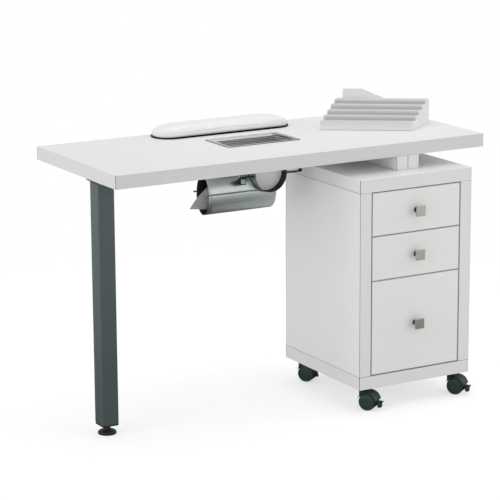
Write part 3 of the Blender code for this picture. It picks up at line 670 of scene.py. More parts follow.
def brushed(name, colour, roughness, stretch, dull, anisotropic=0.0):
    """Brushed metal: fine lines along the brushing in colour, roughness and relief, and soft smudges."""
    made = Finish(name, colour, roughness, Metallic=1.0, Anisotropic=anisotropic)
    lines = effect(made.tree, "Brushed Lines", {"Stretch": stretch})
    marks = effect(made.tree, "Handling Marks", {"Size": 0.06, "Cover": 0.5})
    made.shade(lines, dull, 0.45)
    made.shade(marks, dull, 0.25)
    made.polish(lines, 0.16)
    made.polish(marks, 0.10)
    made.emboss(lines, 0.00003, 0.35)
    return made.done()


def brushed_steel():
    """Stainless sheet, brushed along X."""
    dull = tuple(0.72 * part for part in colours().steel)
    return brushed("brushed_steel", colours().steel, 0.24, (45.0, 2600.0, 2600.0), dull, 0.4)


def satin_nickel():
    """Nickel plate with a short, fine brushing."""
    dull = tuple(0.75 * part for part in colours().nickel)
    return brushed("satin_nickel", colours().nickel, 0.24, (180.0, 3000.0, 3000.0), dull, 0.2)


def polished_steel():
    """Steel polished almost to a mirror, with faint lines left along X."""
    dull = tuple(0.8 * part for part in colours().chrome)
    return brushed("polished_steel", colours().chrome, 0.07, (30.0, 1200.0, 1200.0), dull)


def zinc():
    """Bright zinc plate: crystal spangle from cells, each with its own tone."""
    made = Finish("zinc_plated_steel", colours().zinc, 0.3, Metallic=1.0)
    place = add_node(made.tree, "ShaderNodeTexCoord").outputs["Object"]
    cells = add_node(made.tree, "ShaderNodeTexVoronoi", {"Vector": place, "Scale": 220.0}).outputs["Color"]
    tone = add_node(made.tree, "ShaderNodeSeparateColor", {0: cells}).outputs[0]
    marks = effect(made.tree, "Handling Marks", {"Size": 0.03, "Cover": 0.5})
    made.shade(tone, (0.42, 0.44, 0.47), 0.4)
    made.shade(marks, (0.38, 0.37, 0.34), 0.25)
    made.polish(tone, 0.14)
    made.polish(marks, 0.12)
    made.emboss(tone, 0.00001, 0.3)
    return made.done()


def vinyl():
    """Upholstery vinyl: a pebble of small cells with creases between them, soft sheen, faint soiling."""
    made = Finish("white_padded_vinyl", colours().vinyl, 0.42, Sheen_Weight=0.12, Sheen_Roughness=0.4)
    place = add_node(made.tree, "ShaderNodeTexCoord").outputs["Object"]
    warp = add_node(made.tree, "ShaderNodeTexNoise", {"Vector": place, "Scale": 260.0, "Detail": 2.0})
    moved = add_node(
        made.tree, "ShaderNodeVectorMath", {0: warp.outputs[1], 1: (0.0022,) * 3}, operation="MULTIPLY"
    )
    links = {0: place, 1: moved.outputs[0]}
    bent = add_node(made.tree, "ShaderNodeVectorMath", links, operation="ADD").outputs[0]
    cells = add_node(
        made.tree,
        "ShaderNodeTexVoronoi",
        {"Vector": bent, "Scale": 620.0},
        feature="DISTANCE_TO_EDGE",
    ).outputs["Distance"]
    pebble = spread(made.tree, cells, 0.0, 0.22)
    crease = spread(made.tree, cells, 0.10, 0.0)
    marks = effect(made.tree, "Handling Marks", {"Size": 0.11, "Cover": 0.5})
    made.shade(crease, (0.66, 0.655, 0.63), 0.30)
    made.shade(marks, (0.76, 0.755, 0.73), 0.35)
    made.polish(marks, 0.10)
    made.polish(crease, 0.15)
    made.emboss(pebble, 0.00012, 0.5)
    return made.done()


def filter_cloth():
    """Non-woven filter cloth: crossing fibres from two drawn-out noises, matt with a little sheen."""
    made = Finish("filter_fabric", colours().filter_cloth, 0.85, Sheen_Weight=0.3, Sheen_Roughness=0.5)
    one = effect(made.tree, "Brushed Lines", {"Stretch": (500.0, 4200.0, 1500.0)})
    two = effect(made.tree, "Brushed Lines", {"Stretch": (3800.0, 700.0, 1100.0)})
    both = add_node(made.tree, "ShaderNodeMath", {0: one, 1: two}, operation="MAXIMUM").outputs[0]
    marks = effect(made.tree, "Handling Marks", {"Size": 0.04, "Cover": 0.55})
    made.shade(spread(made.tree, both, 0.45, 0.7), (0.50, 0.52, 0.51), 0.6)
    made.shade(marks, (0.20, 0.205, 0.20), 0.45)
    made.emboss(both, 0.0003, 0.6)
    return made.done()


def white_nylon():
    """Natural nylon of the fan and the rocker: pale, with a faint flow pattern."""
    return moulded("white_nylon", colours().nylon, 0.4, 0.0007, (0.68, 0.68, 0.65))


def shaded_casing_lining():
    """The sheet's inner face and its cut edges: near black, which is painted shade inside the casing and along its
    edges, with patches dulled by fine dust.
    """
    made = Finish("shaded_casing_lining", colours().lining, 0.5, Metallic=0.6)
    marks = effect(made.tree, "Handling Marks", {"Size": 0.03, "Cover": 0.6})
    made.shade(marks, (0.05, 0.055, 0.055), 0.5)
    made.polish(marks, 0.15)
    return made.done()


def rocker_plastic():
    """The rocker's grey plastic."""
    return moulded("rocker_plastic", colours().rocker, 0.38, 0.0005, (0.5, 0.52, 0.52))


FINISHES = {
    "shaded_casing_lining": shaded_casing_lining,
    "rocker_plastic": rocker_plastic,
    "white_laminate": laminate,
    "drawer_board": drawer_board,
    "slate_painted_steel": powder_coat,
    "black_plastic": black_plastic,
    "slate_castor_plastic": castor_nylon,
    "white_moulded_plastic": white_plastic,
    "brushed_steel": brushed_steel,
    "satin_nickel": satin_nickel,
    "polished_steel": polished_steel,
    "zinc_plated_steel": zinc,
    "white_padded_vinyl": vinyl,
    "filter_fabric": filter_cloth,
    "white_nylon": white_nylon,
}


def finish(name):
    """The finish of this name, made on first use. The frame's own materials have the bare names."""
    return bpy.data.materials.get(f"{name}_finish") or FINISHES[name]()


def colours():
    """The finish colours held by the scene."""
    return bpy.context.scene.table_colours


def sizes():
    """The sizes held by the scene."""
    return bpy.context.scene.table_sizes


# --- worktop and leg ---


def worktop_rings(low, high, hole_low, hole_high):
    """The board's section, from the outer underside round the rim, over the top, down the hole and back."""
    climb = rounding(0.0003, 0.003)
    rise = high[2] - low[2]
    outer = [(inset, z) for inset, z in climb] + [(inset, rise - z) for inset, z in climb[::-1]]
    inner = [(-inset, rise - z) for inset, z in climb] + [(-inset, z) for inset, z in climb[::-1]]
    rings = []
    for rows, near, far in ((outer, low, high), (inner, hole_low, hole_high)):
        half = (far[:2] - near[:2]) / 2
        middle = (far[:2] + near[:2]) / 2
        for inset, z in rows:
            ring = corner_ring(half - inset, 0.0, 0.0, 0.003) + middle
            rings.append(np.column_stack([ring, np.full(len(ring), low[2] + z)]))
    return np.stack(rings)


def build_worktop():
    """A thin band on each side, and a core whose section is carried round the rim and the cut-out."""
    low, high = corners("table_top")
    # The worktop's edge bands take the full painted shade.
    strips = banded(low, high, ("y-", "y+", "x-", "x+"), strip=1.0)[1:]
    core_low = low + np.array((1, 1, 0)) * (0.0013 + HAIR)
    core_high = high - np.array((1, 1, 0)) * (0.0013 + HAIR)
    hole_low, hole_high = cutout()
    rings = worktop_rings(core_low, core_high, hole_low, hole_high)
    core = stack(rings, joined=True, edge=nearness(rings, low, high, 0.003).ravel())
    make(
        "worktop_board", [core, *strips], finish("white_laminate"), "table", ["table_top"],
        flat_faces=True,
    )


def cutout():
    """The opening in the worktop, a hair outside the grille's skirt."""
    low, high = corners("extractor_grille")
    margin = sizes().cutout_margin
    return low + margin, high - margin


def build_leg():
    """A square tube with rounded arrises, its weld bead, its plate and screws, and the end below it."""
    low, high = corners("leg_tube")
    coat = finish("slate_painted_steel")
    half = (high[:2] - low[:2]) / 2
    middle = (high[:2] + low[:2]) / 2
    wall = 0.002
    levels = (low[2], low[2] + 0.0003, high[2] - 0.0003, high[2])
    outside = [(0.0003, levels[0]), (0.0, levels[1]), (0.0, levels[2]), (0.0003, levels[3])]
    inside = [(wall, levels[3]), (wall, levels[0])]
    rings = []
    for inset, z in outside + inside:
        ring = corner_ring(half, 0.003, inset, 0.006, 6) + middle
        rings.append(np.column_stack([ring, np.full(len(ring), z)]))
    rings = np.stack(rings)
    edge = np.clip(1 - np.abs(rings[..., 2] - low[2]) / 0.002, 0, 1)
    tube = stack(rings, joined=True, edge=edge.ravel())
    make("leg_square_tube", tube, coat, "table", ["leg_tube"], flat_faces=True)

    bead_path = corner_ring(half, 0.003, 0.0, 0.006, 6) + middle
    bead_path = softened(
        bead_path[np.linalg.norm(np.diff(bead_path, axis=0, append=bead_path[:1]), axis=1) > 1e-6], 1e-5, 1,
        True,
    )
    spots = resampled(bead_path, 160)
    swell = 0.00085 * (1 + 0.12 * np.sin(np.arange(160) * 2 * math.pi / 3.2))
    turn = np.linspace(0.0, 2 * math.pi, 11)[:-1]
    way = unit(np.roll(spots, -1, axis=0) - np.roll(spots, 1, axis=0))
    outward = np.column_stack([way[:, 1], -way[:, 0], np.zeros(160)])
    centre = np.column_stack([spots, np.full(160, high[2] - 0.0006)])
    bead = centre[:, None] + swell[:, None, None] * (
        np.cos(turn)[None, :, None] * outward[:, None] + np.sin(turn)[None, :, None] * Z
    )
    make("leg_weld_bead", stack(bead, joined=True), coat, "table")
    cover(["leg_mount_plate"], coat)
    plate_low, plate_high = corners("leg_mount_plate")
    heads = []
    for x in (plate_low[0] + 0.010, plate_high[0] - 0.010):
        for y in (plate_low[1] + 0.010, plate_high[1] - 0.010):
            heads.append(screw((x, y, plate_low[2] + 0.0001), -Z, 0.0045, 0.0022))
    make("leg_plate_screws", heads, finish("zinc_plated_steel"), "table")
    build_leg_end(low)


def resampled(loop, count):
    """Points at equal distances round a closed path."""
    closed = np.concatenate([loop, loop[:1]])
    run = np.concatenate([[0.0], np.cumsum(np.linalg.norm(np.diff(closed, axis=0), axis=1))])
    at = np.linspace(0.0, run[-1], count + 1)[:-1]
    return np.column_stack([np.interp(at, run, closed[:, k]) for k in range(closed.shape[1])])


def build_leg_end(tube_low):
    """The tube's end cap, and the foot: a domed disc, a ribbed hub and a stud whose thread is a helical
    ripple."""
    cap_low, cap_high = corners("leg_end_cap")
    half = (cap_high[:2] - cap_low[:2]) / 2
    middle = (cap_high[:2] + cap_low[:2]) / 2
    flange_top = tube_low[2] - 0.0003
    climb = rounding(0.0007, 0.003)
    rows = [(inset, cap_low[2] + z) for inset, z in climb[:-1]] + [(0.0, flange_top), (0.0028, flange_top)]
    rows += [(0.0028, cap_high[2] - 0.001), (0.0038, cap_high[2]), (0.008, cap_high[2])]
    rings = []
    for inset, z in rows:
        ring = corner_ring(
            half, 0.003, min(inset, 0.0029), 0.006, 5
        ) * (half - inset) / (half - min(inset, 0.0029))
        rings.append(np.column_stack([ring + middle, np.full(len(ring), z)]))
    black = finish("black_plastic")
    cap = stack(np.stack(rings))
    collar = turned(
        [
            (0.0046, cap_low[2] - 0.0012), (0.0085, cap_low[2] - 0.0012), (0.0092, cap_low[2] + 0.001),
            (0.0046, cap_low[2] + 0.001),
        ],
        (*middle, 0.0),
        Z,
        joined=True,
    )
    make("leg_cap", [cap, collar], black, "table", ["leg_end_cap"], crease=40)

    low, high = corners("levelling_foot")
    radius = (high[0] - low[0]) / 2
    centre = (*((low[:2] + high[:2]) / 2), 0.0)
    dome = arc((0.0115, 0.0052), (radius - 0.0115, 0.0062), 0, 90, 9)
    profile = np.concatenate([
        [(0.0, 0.0), (radius - 0.0018, 0.0), (radius - 0.0005, 0.0006), (radius, 0.0018), (radius, 0.0045)],
        dome,
        [
            (0.0098, 0.0118), (0.0094, 0.0130), (0.0094, 0.0168), (0.0086, 0.0178), (0.0040, 0.0178),
            (0.0, 0.0178),
        ],
    ])

    def ribs(height, turn):
        """Twelve ribs round the hub: its radius follows the cosine of twelve turns, a twentieth either
        way."""
        on_hub = (height > 0.0125) & (height < 0.0172)
        return 1 + 0.05 * on_hub * np.cos(12 * turn)

    disc = turned(profile, centre, Z, 96, ripple=ribs)
    pitch = 0.00125
    stud_low = 0.0172
    heights = np.arange(stud_low, high[2], pitch / 6)
    stud_profile = np.column_stack([np.full(len(heights), 0.0037), heights])
    stud_profile = np.concatenate([[(0.0, stud_low)], stud_profile, [(0.0028, high[2]), (0.0, high[2])]])

    def thread(height, turn):
        """A helix: the radius is a triangle wave of the height in pitches less the angle in turns."""
        phase = height / pitch - turn / (2 * math.pi)
        return 1 + 0.085 * (2 * np.abs(2 * (phase - np.floor(phase)) - 1) - 1)

    stud = turned(stud_profile, centre, Z, 20, ripple=thread)
    make("foot_disc", disc, black, "levelling_foot", ["levelling_foot"], crease=50)
    make("foot_stud", stud, finish("zinc_plated_steel"), "levelling_foot", crease=70)


# --- cabinet and drawers ---


def build_cabinet():
    """Boards with rounded arrises, edge bands, and a line of painted shade where one meets another."""
    around = ("y-", "y+", "x-", "x+")
    boards = {
        "cabinet_bottom_panel": (around, ("z+",)),
        "cabinet_top_panel": (around, ("z-",)),
        "cabinet_left_side": (("y-", "y+"), ("z-", "z+")),
        "cabinet_right_side": (("y-", "y+"), ("z-", "z+")),
        "cabinet_back_panel": ((), ("z-", "z+", "x-", "x+")),
        "spacer_board_left": (("y-", "y+"), ("z-", "z+", "x+")),
        "spacer_board_right": (("y-", "y+"), ("z-", "z+", "x-")),
    }
    for node, (sides, meets) in boards.items():
        low, high = corners(node)
        name = node.replace("_panel", "_board").replace("_side", "_side_board")
        name = name + "_banded" if name == node else name
        make(
            name, banded(low, high, sides, meets), finish("white_laminate"), "table",
            [node], flat_faces=True,
        )
    low, high = corners("cabinet_back_panel")
    heads = [
        screw((x, high[1] - 0.0001, z), Y, 0.0032, 0.0013)
        for x in (low[0] + 0.012, high[0] - 0.012)
        for z in np.linspace(low[2] + 0.03, high[2] - 0.03, 5)
    ]
    make("back_panel_screws", heads, finish("zinc_plated_steel"), "table")


def build_drawers():
    """A banded front with its knob for each drawer, on the frame's boxes and runners."""
    for label in DRAWERS:
        body = f"{label}_drawer"
        low, high = corners(f"{label}_drawer_front")
        front = banded(low, high, ("z-", "z+", "x-", "x+"))
        for band in front[1:]:
            # The rim just behind the face gets painted shade for the gap round the front.
            band.joint = drawer_gap_shade(band.points, low)
        make(
            f"{label}_drawer_face", front, finish("white_laminate"), body,
            [f"{label}_drawer_front"], flat_faces=True,
        )
        build_knob(label, body)
        cover([f"{label}_drawer_box"], finish("drawer_board"))
        runners = [f"{label}_drawer_runner_left", f"{label}_drawer_runner_right"]
        cover(runners, finish("zinc_plated_steel"))
        build_drawer_fittings(label, body)


def drawer_gap_shade(points, low):
    """1 on the ring of points 3 mm behind a front's face, and 0 elsewhere. It fades on both sides of the
    ring, and gives the gap round a front its dark line of painted shade."""
    behind = points[:, 1] - low[1]
    return ((behind > GAP_SHADE_START) & (behind < GAP_SHADE_END)).astype(float)


def build_knob(label, body):
    """A square plate with a soft pillow of a face on a stem that flares where it meets the plate."""
    low, high = corners(f"{label}_drawer_knob")
    middle = (low + high) / 2
    plate_back = low[1] + 0.006
    plate = slab(low, (high[0], plate_back, high[2]), 0.0011, 0.003)
    stem = [(0.0, 0.0), (0.0058, 0.0), (0.0060, 0.0004)]
    length = high[1] - plate_back
    stem += [
        (0.0060, length - 0.0055), (0.0064, length - 0.0035), (0.0078, length - 0.0012), (0.0098, length)
    ]
    stem += [(0.0, length + 0.0008)]
    post = turned(stem, (middle[0], high[1], middle[2]), -Y)
    collar = turned(
        [
            (0.0062, -0.0002), (0.0082, -0.0002), (0.0086, 0.0003), (0.0086, 0.0014), (0.0080, 0.0019),
            (0.0062, 0.0019),
        ],
        (middle[0], high[1], middle[2]),
        -Y,
        joined=True,
    )
    replaced = [f"{label}_drawer_knob"]
    make(
        f"{label}_knob", plate, finish("satin_nickel"), body, replaced, flat_faces=True,
        crease=40,
    )
    make(f"{label}_knob_stem", [post, collar], finish("black_plastic"), body, crease=40)


def build_drawer_fittings(label, body):
    """Screws that hold the front from inside the box, and the knob's own screw between them."""
    low, high = corners(f"{label}_drawer_box")
    knob_low, knob_high = corners(f"{label}_drawer_knob")
    inner_face = low[1] + 0.012
    middle = (knob_low + knob_high) / 2
    mid_z = low[2] + 0.045
    spots = [(low[0] + 0.055, mid_z), (high[0] - 0.055, mid_z)]
    spots.append((middle[0], min(middle[2], high[2] - 0.012)))
    heads = [screw((x, inner_face, z), Y, 0.0038, 0.0018) for x, z in spots]
    make(f"{label}_front_screws", heads, finish("zinc_plated_steel"), body)


# --- castors ---


def castor_place(corner):
    """How castor coordinates map to the frame: x along the trail, y along the axle, z up, from the wheel's
    axis."""
    joint = JOINTS[f"{corner}_wheel_inner_roll"]
    origin = np.array(joint["pos_m"], float)
    axle = unit(joint["axis"])
    basis = np.stack([np.cross(axle, Z), axle, Z])

    def place(skin):
        """The skin turned by the castor's axes and moved to its wheels' axis."""
        skin.points = origin + skin.points @ basis
        return skin

    return place


def castor_wheel(side):
    """A wheel profile: a bore, a rounded tread with a fine parting groove, and a face with a shallow dish."""
    tread = WHEEL_RADIUS
    wide = WHEEL_OUTER
    middle = (WHEEL_INNER + wide) / 2
    profile = [
        (0.0034, WHEEL_INNER), (0.0090, WHEEL_INNER), (0.0096, WHEEL_INNER + 0.0010),
        (0.0188, WHEEL_INNER + 0.0010),
    ]
    profile += [(0.0194, WHEEL_INNER), (tread - 0.0020, WHEEL_INNER)]
    profile += arc((tread - 0.0016, WHEEL_INNER + 0.0016), 0.0016, -90, 0, 4).tolist()
    profile += [(tread, middle - 0.0004), (tread - 0.0003, middle), (tread, middle + 0.0004)]
    profile += arc((tread - 0.0034, wide - 0.0034), 0.0034, 0, 80, 7).tolist()
    profile += [
        (0.0205, wide - 0.0001), (0.0198, wide - 0.0006), (0.0192, wide - 0.0006), (0.0186, wide - 0.0003)
    ]
    profile += [(0.0130, wide - 0.0001), (0.0060, wide), (0.0, wide)]
    profile += [(0.0, WHEEL_INNER + 0.0150), (0.0034, WHEEL_INNER + 0.0150)]
    return turned([(radius, height * side) for radius, height in profile], (0, 0, 0), Y, 72, joined=True)


def castor_hood():
    """The band over the wheels with its rolled rims, the swivel boss, the web between the wheels and the
    lug."""
    turn = np.radians(np.linspace(9.0, 152.0, 37))
    outer, inner, half = HOOD_RADIUS, HOOD_RADIUS - HOOD_WALL, HOOD_HALF_WIDTH
    section = corner_ring(((outer - inner) / 2, half), 0.0008, 0.0, 0.002, 3)
    spoke = np.stack([np.cos(turn), np.zeros_like(turn), np.sin(turn)], -1)
    radius = (outer + inner) / 2 + section[:, 0]
    rings = spoke[:, None] * radius[None, :, None] + section[None, :, 1:2] * Y
    band = stack(rings)
    top = 0.0595 - WHEEL_RADIUS
    boss = turned(
        [
            (0.0, 0.012), (0.0110, 0.012), (0.0118, 0.0135), (0.0120, 0.0150), (0.0120, top - 0.0010),
            (0.0112, top), (0.0, top),
        ],
        (-0.018, 0.0, 0.0),
        Z,
    )
    web_half = WHEEL_INNER - 0.0010
    outline = arc((0, 0), inner + 0.0006, 9, 152, 24).tolist() + arc((0, 0), 0.0068, 180, 300, 8).tolist()
    outline += [(0.0285, -0.0105), (0.0325, -0.0105), (0.0335, -0.0090), (0.0335, -0.0035)]
    web = prism(outline, "y", -web_half, web_half)
    ribs = [
        swept(
            np.stack(
                [np.cos(turn[3:-9]), np.full_like(turn[3:-9], y / outer), np.sin(turn[3:-9])], -1
            ) * outer,
            arc((0, 0), (0.0006, 0.0007), 0, 324, 9),
            Y,
        )
        for y in (-0.0075, 0.0075)
    ]
    axle = turned([(0.0, -0.0192), (0.0030, -0.0192), (0.0030, 0.0192), (0.0, 0.0192)], (0, 0, 0), Y, 24)
    return [band, boss, web, axle], ribs


def brake_lever():
    """Two cheeks and a bridge round the lug, and a foot tab whose plan is a soft trapezium with three
    ridges."""
    cheeks = []
    outline = softened(
        [(0.0286, -0.0156), (0.0385, -0.0156), (0.0388, -0.0010), (0.0378, 0.0024), (0.0284, 0.0024)], 0.0012,
        4, True,
    )
    for side in (-1, 1):
        start, end = sorted((side * 0.0040, side * 0.0074))
        cheeks.append(prism(outline, "y", start, end))
    bridge = prism(
        softened([(0.0348, -0.0156), (0.0385, -0.0156), (0.0387, 0.0022), (0.0348, 0.0022)], 0.0008, 3, True),
        "y", -0.0045, 0.0045,
    )
    plan = softened(
        [(0.0362, -0.0078), (0.0424, -0.0089), (0.0429, 0.0), (0.0424, 0.0089), (0.0362, 0.0078)], 0.0015, 4,
        True,
    )
    tab = prism(plan, "z", -0.0004, 0.0020)
    ridges = [
        slab((x, -0.0065, 0.0016), (x + 0.0007, 0.0065, 0.0025), 0.0002) for x in (0.0382, 0.0397, 0.0412)
    ]
    return [*cheeks, bridge, tab, *ridges]


def build_castors():
    """The hood, wheels, brake and plate of each castor, set in place from castor coordinates."""
    nylon = finish("slate_castor_plastic")
    steel = finish("zinc_plated_steel")
    for corner in CORNERS:
        place = castor_place(corner)
        body = f"{corner}_castor"
        shell, ribs = castor_hood()
        skins = [place(skin) for skin in shell]
        make(
            f"{corner}_hood", skins, nylon, body, [f"{corner}_castor_housing"], bevel=0.0004, crease=40
        )
        make(f"{corner}_hood_ribs", [place(skin) for skin in ribs], nylon, body)
        for side, sign in (("inner", 1), ("outer", -1)):
            node = f"{corner}_castor_wheel_{side}"
            make(
                f"{corner}_wheel_{side}_disc", place(castor_wheel(sign)), nylon, f"{corner}_wheel_{side}",
                [node],
            )
        if corner.startswith("front"):
            lever = [place(skin) for skin in brake_lever()]
            make(
                f"{corner}_brake_pedal", lever, nylon, f"{corner}_brake", [f"{corner}_brake_lever"],
                bevel=0.0003,
            )
        cover([f"{corner}_castor_plate"], steel)
        low, high = corners(f"{corner}_castor_plate")
        middle = (low + high) / 2
        reach = (high[0] - low[0]) / 2 - 0.0065
        heads = [
            screw((middle[0] + a * reach, middle[1] + b * reach, high[2] - 0.0023), -Z, 0.0034, 0.0016)
            for a in (-1, 1)
            for b in (-1, 1)
        ]
        make(f"{corner}_plate_screws", heads, steel, "table")
        race = [
            (0.0122, 0.0), (0.0158, 0.0), (0.0166, 0.0008), (0.0166, 0.0022), (0.0158, 0.0030),
            (0.0122, 0.0030),
        ]
        ring = turned(race, (middle[0], middle[1], low[2] + 0.0003), Z, joined=True)
        make(f"{corner}_ball_race", ring, steel, "table")


# --- extractor ---


def hinge():
    """The lower shell's hinge axis: its y and its z."""
    return np.array(JOINTS["lower_shell_hinge"]["pos_m"], float)[1:]


def casing():
    """The casing's section: its middle in y and z, and its ends in x."""
    low, high = corners("extractor_lower_shell")
    return np.array((low[1] + CASING_HALF_DEPTH, low[2] + CASING_HALF_HEIGHT)), low[0], high[0]


def trough_centre():
    """The axis of the trough's half cylinder: one radius above the bottom of its box."""
    low, high = corners("intake_trough")
    return (low[0] + high[0]) / 2, low[2] + TROUGH_RADIUS


def build_lower_shell():
    """Half an ellipse carried along x. Its rim is the seam's height, or the trough's underside where that is
    lower, and its right end turns in by a quarter circle and closes with a flat wall."""
    middle, left, right = casing()
    trough_x, trough_z = trough_centre()
    clear = TROUGH_RADIUS + 0.0009
    seam = hinge()[1] - 0.0003
    fillet = 0.006
    inside = SHEET / 2
    run = np.concatenate([
        np.linspace(left, trough_x - 0.032, 12),
        np.linspace(trough_x - 0.028, right - fillet, 30),
        right - fillet + fillet * np.sin(np.linspace(0.15, math.pi / 2, 7)) - inside,
    ])
    curl = np.concatenate([np.zeros(42), fillet * (1 - np.cos(np.linspace(0.15, math.pi / 2, 7)))])
    off = np.clip(clear**2 - (run - trough_x) ** 2, 0.0, None)
    rim = np.where(off > 0, np.minimum(seam, trough_z - np.sqrt(off)), seam)
    depth = CASING_HALF_DEPTH - inside - curl
    height = CASING_HALF_HEIGHT - inside - curl
    lean = np.arcsin((rim - middle[1]) / height)
    share = np.linspace(0.0, 1.0, 49)[None, :]
    angle = (math.pi - lean)[:, None] + share * (math.pi + 2 * lean)[:, None]
    rows = np.stack([
        np.repeat(run[:, None], 49, axis=1),
        middle[0] + depth[:, None] * np.cos(angle),
        middle[1] + height[:, None] * np.sin(angle),
    ], -1)
    wall = np.repeat(rows[-1:], 7, axis=0)
    wall[..., 2] += np.linspace(0.0, 1.0, 7)[:, None] * (rim[-1] - wall[..., 2])
    steel = finish("brushed_steel")
    skin = net(np.concatenate([rows, wall[1:]]))
    make(
        "casing_lower_shell", skin, steel, "lower_shell", ["extractor_lower_shell"],
        wall=SHEET, crease=50, lining=finish("shaded_casing_lining"),
    )
    make(
        "lower_hinge_knuckles", knuckles(((0.0, 0.0197), (0.1103, 0.1297))), steel, "lower_shell",
    )


def knuckles(spans):
    """Rolled knuckles round the pin, each a tube between two distances from the first knuckle's start."""
    y, z = hinge()
    start = casing()[1] + 0.0132
    rings = []
    for low, high in spans:
        outer, bore, soft = 0.0045, PIN_RADIUS + 0.0002, 0.0004
        profile = [
            (bore, low), (outer - soft, low), (outer, low + soft), (outer, high - soft), (outer - soft, high),
            (bore, high),
        ]
        rings.append(turned(profile, (start, y, z), X, 32, joined=True))
    return rings


def build_upper_shell():
    """Half an ellipse whose right edge follows the trough's cylinder, hung from the worktop by a strap."""
    middle, left, _ = casing()
    trough_x, trough_z = trough_centre()
    clear = TROUGH_RADIUS + 0.0009
    seam = hinge()[1] + 0.0003
    depth = CASING_HALF_DEPTH - SHEET / 2
    height = CASING_HALF_HEIGHT - SHEET / 2
    lean = math.asin((seam - middle[1]) / height)
    angle = np.linspace(math.pi - lean, lean, 49)[None, :]
    y = middle[0] + depth * np.cos(angle)
    z = middle[1] + height * np.sin(angle)
    end = trough_x - np.sqrt(clear**2 - (z - trough_z) ** 2)
    share = np.linspace(0.0, 1.0, 24)[:, None]
    x = left + share * (end - left)
    points = np.stack([x, y + 0 * x, z + 0 * x], -1)
    steel = finish("brushed_steel")
    make(
        "casing_upper_shell", net(points), steel, "table", ["extractor_upper_shell"],
        wall=SHEET, crease=50, lining=finish("shaded_casing_lining"),
    )
    make(
        "upper_hinge_knuckles", knuckles(((0.0203, 0.0400), (0.0897, 0.1100))), steel, "table",
    )

    top = corners("table_top")[0][2] - 0.0012
    base = middle[1] + CASING_HALF_HEIGHT + 0.0002
    start = left + 0.015
    fold = softened([(start + 0.014, base), (start, base), (start, top), (start + 0.014, top)], 0.003)
    strap = np.stack(
        [
            np.column_stack([fold[:, 0], np.full(len(fold), middle[0] + y), fold[:, 1]])
            for y in np.linspace(-0.012, 0.012, 3)
        ]
    )
    make("casing_strap", net(strap), steel, "table", wall=0.0015)
    rivets = [
        screw((start + 0.0085, middle[0] + y, base + 0.0006), Z, 0.0022, 0.0009) for y in (-0.006, 0.006)
    ]
    rivets += [
        screw((start + 0.0085, middle[0] + y, top - 0.0006), -Z, 0.0030, 0.0014) for y in (-0.006, 0.006)
    ]
    make("casing_strap_screws", rivets, finish("zinc_plated_steel"), "table")


def build_pin():
    """The hinge pin, with a domed head at its left end and a chamfer at its right."""
    low, high = corners("extractor_hinge_pin")
    y, z = hinge()
    length = high[0] - low[0]
    profile = [
        (0.0, 0.0), (0.0014, 0.0003), (0.0026, 0.0012), (0.0030, 0.0022), (0.0030, 0.0030),
        (PIN_RADIUS, 0.0030),
    ]
    profile += [(PIN_RADIUS, length - 0.0008), (PIN_RADIUS - 0.0008, length), (0.0, length)]
    pin = turned(profile, (low[0], y, z), X, 24)
    make(
        "casing_hinge_pin", pin, finish("slate_painted_steel"), "table",
        ["extractor_hinge_pin"],
    )


def build_trough():
    """A half-round gutter with a port in its left wall, closed at the back, and two turned-out lips."""
    low, high = corners("intake_trough")
    centre_x, centre_z = trough_centre()
    lip_z = corners("switch_box")[1][2] + 0.0003 + SHEET / 2
    radius = TROUGH_RADIUS - SHEET / 2
    angle = np.radians(np.linspace(180.0, 360.0, 73))
    outline = np.column_stack([centre_x + radius * np.cos(angle), centre_z + radius * np.sin(angle)])
    trough_top = corners("intake_hopper")[0][2] - 0.0004
    outline = np.concatenate([[(outline[0, 0], trough_top)], outline, [(outline[-1, 0], trough_top)]])
    port_front, port_back = low[1] + 0.036, low[1] + 0.084
    rows_y = np.concatenate([
        np.linspace(low[1], port_front, 8),
        np.linspace(port_front, port_back, 10)[1:],
        np.linspace(port_back, high[1] - SHEET, 4)[1:],
    ])
    points = np.empty((len(rows_y), len(outline), 3))
    points[..., 0] = outline[:, 0]
    points[..., 1] = rows_y[:, None]
    points[..., 2] = outline[:, 1]
    middle = (points[:-1, :-1] + points[1:, 1:]) / 2
    port = (middle[..., 0] < centre_x) & (middle[..., 2] > 0.6400) & (middle[..., 2] < 0.6700)
    port &= (middle[..., 1] > port_front) & (middle[..., 1] < port_back)
    steel = finish("brushed_steel")
    make(
        "trough_gutter", net(points, keep=~port), steel, "table", ["intake_trough"],
        wall=SHEET, lining=finish("shaded_casing_lining"),
    )
    back = prism(np.concatenate([outline, [(centre_x, trough_top)]]), "y", high[1] - SHEET, high[1])
    make("trough_back_wall", back, steel, "table")

    reach = (high[0] - low[0]) / 2 - SHEET / 2
    depth = np.linspace(0.0, 0.018, 4)
    skins = []
    for side in (-1, 1):
        fold = [
            (radius - 0.0001, lip_z - 0.0040), (radius + 0.0002, lip_z), (reach, lip_z),
            (reach, lip_z + LIP_RISE),
        ]
        fold = softened(fold, 0.0028)
        rows = [
            np.column_stack([centre_x + side * fold[:, 0], np.full(len(fold), low[1] + y), fold[:, 1]])
            for y in depth
        ]
        skins.append(net(np.stack(rows)))
    make("trough_lips", skins, steel, "table", wall=SHEET, lining=finish("shaded_casing_lining"))
    plate_low, plate_high = corners("intake_front_plate")
    half = (plate_high[0] - plate_low[0]) / 2
    disc = arc((centre_x, centre_z), half, 180, 360, 60).tolist()
    disc = [(centre_x - half, plate_high[2]), *disc, (centre_x + half, plate_high[2])]
    plate = prism(disc, "y", plate_low[1], plate_high[1])
    make(
        "trough_front_plate", plate, finish("white_laminate"), "table",
        ["intake_front_plate"], bevel=0.0003,
    )


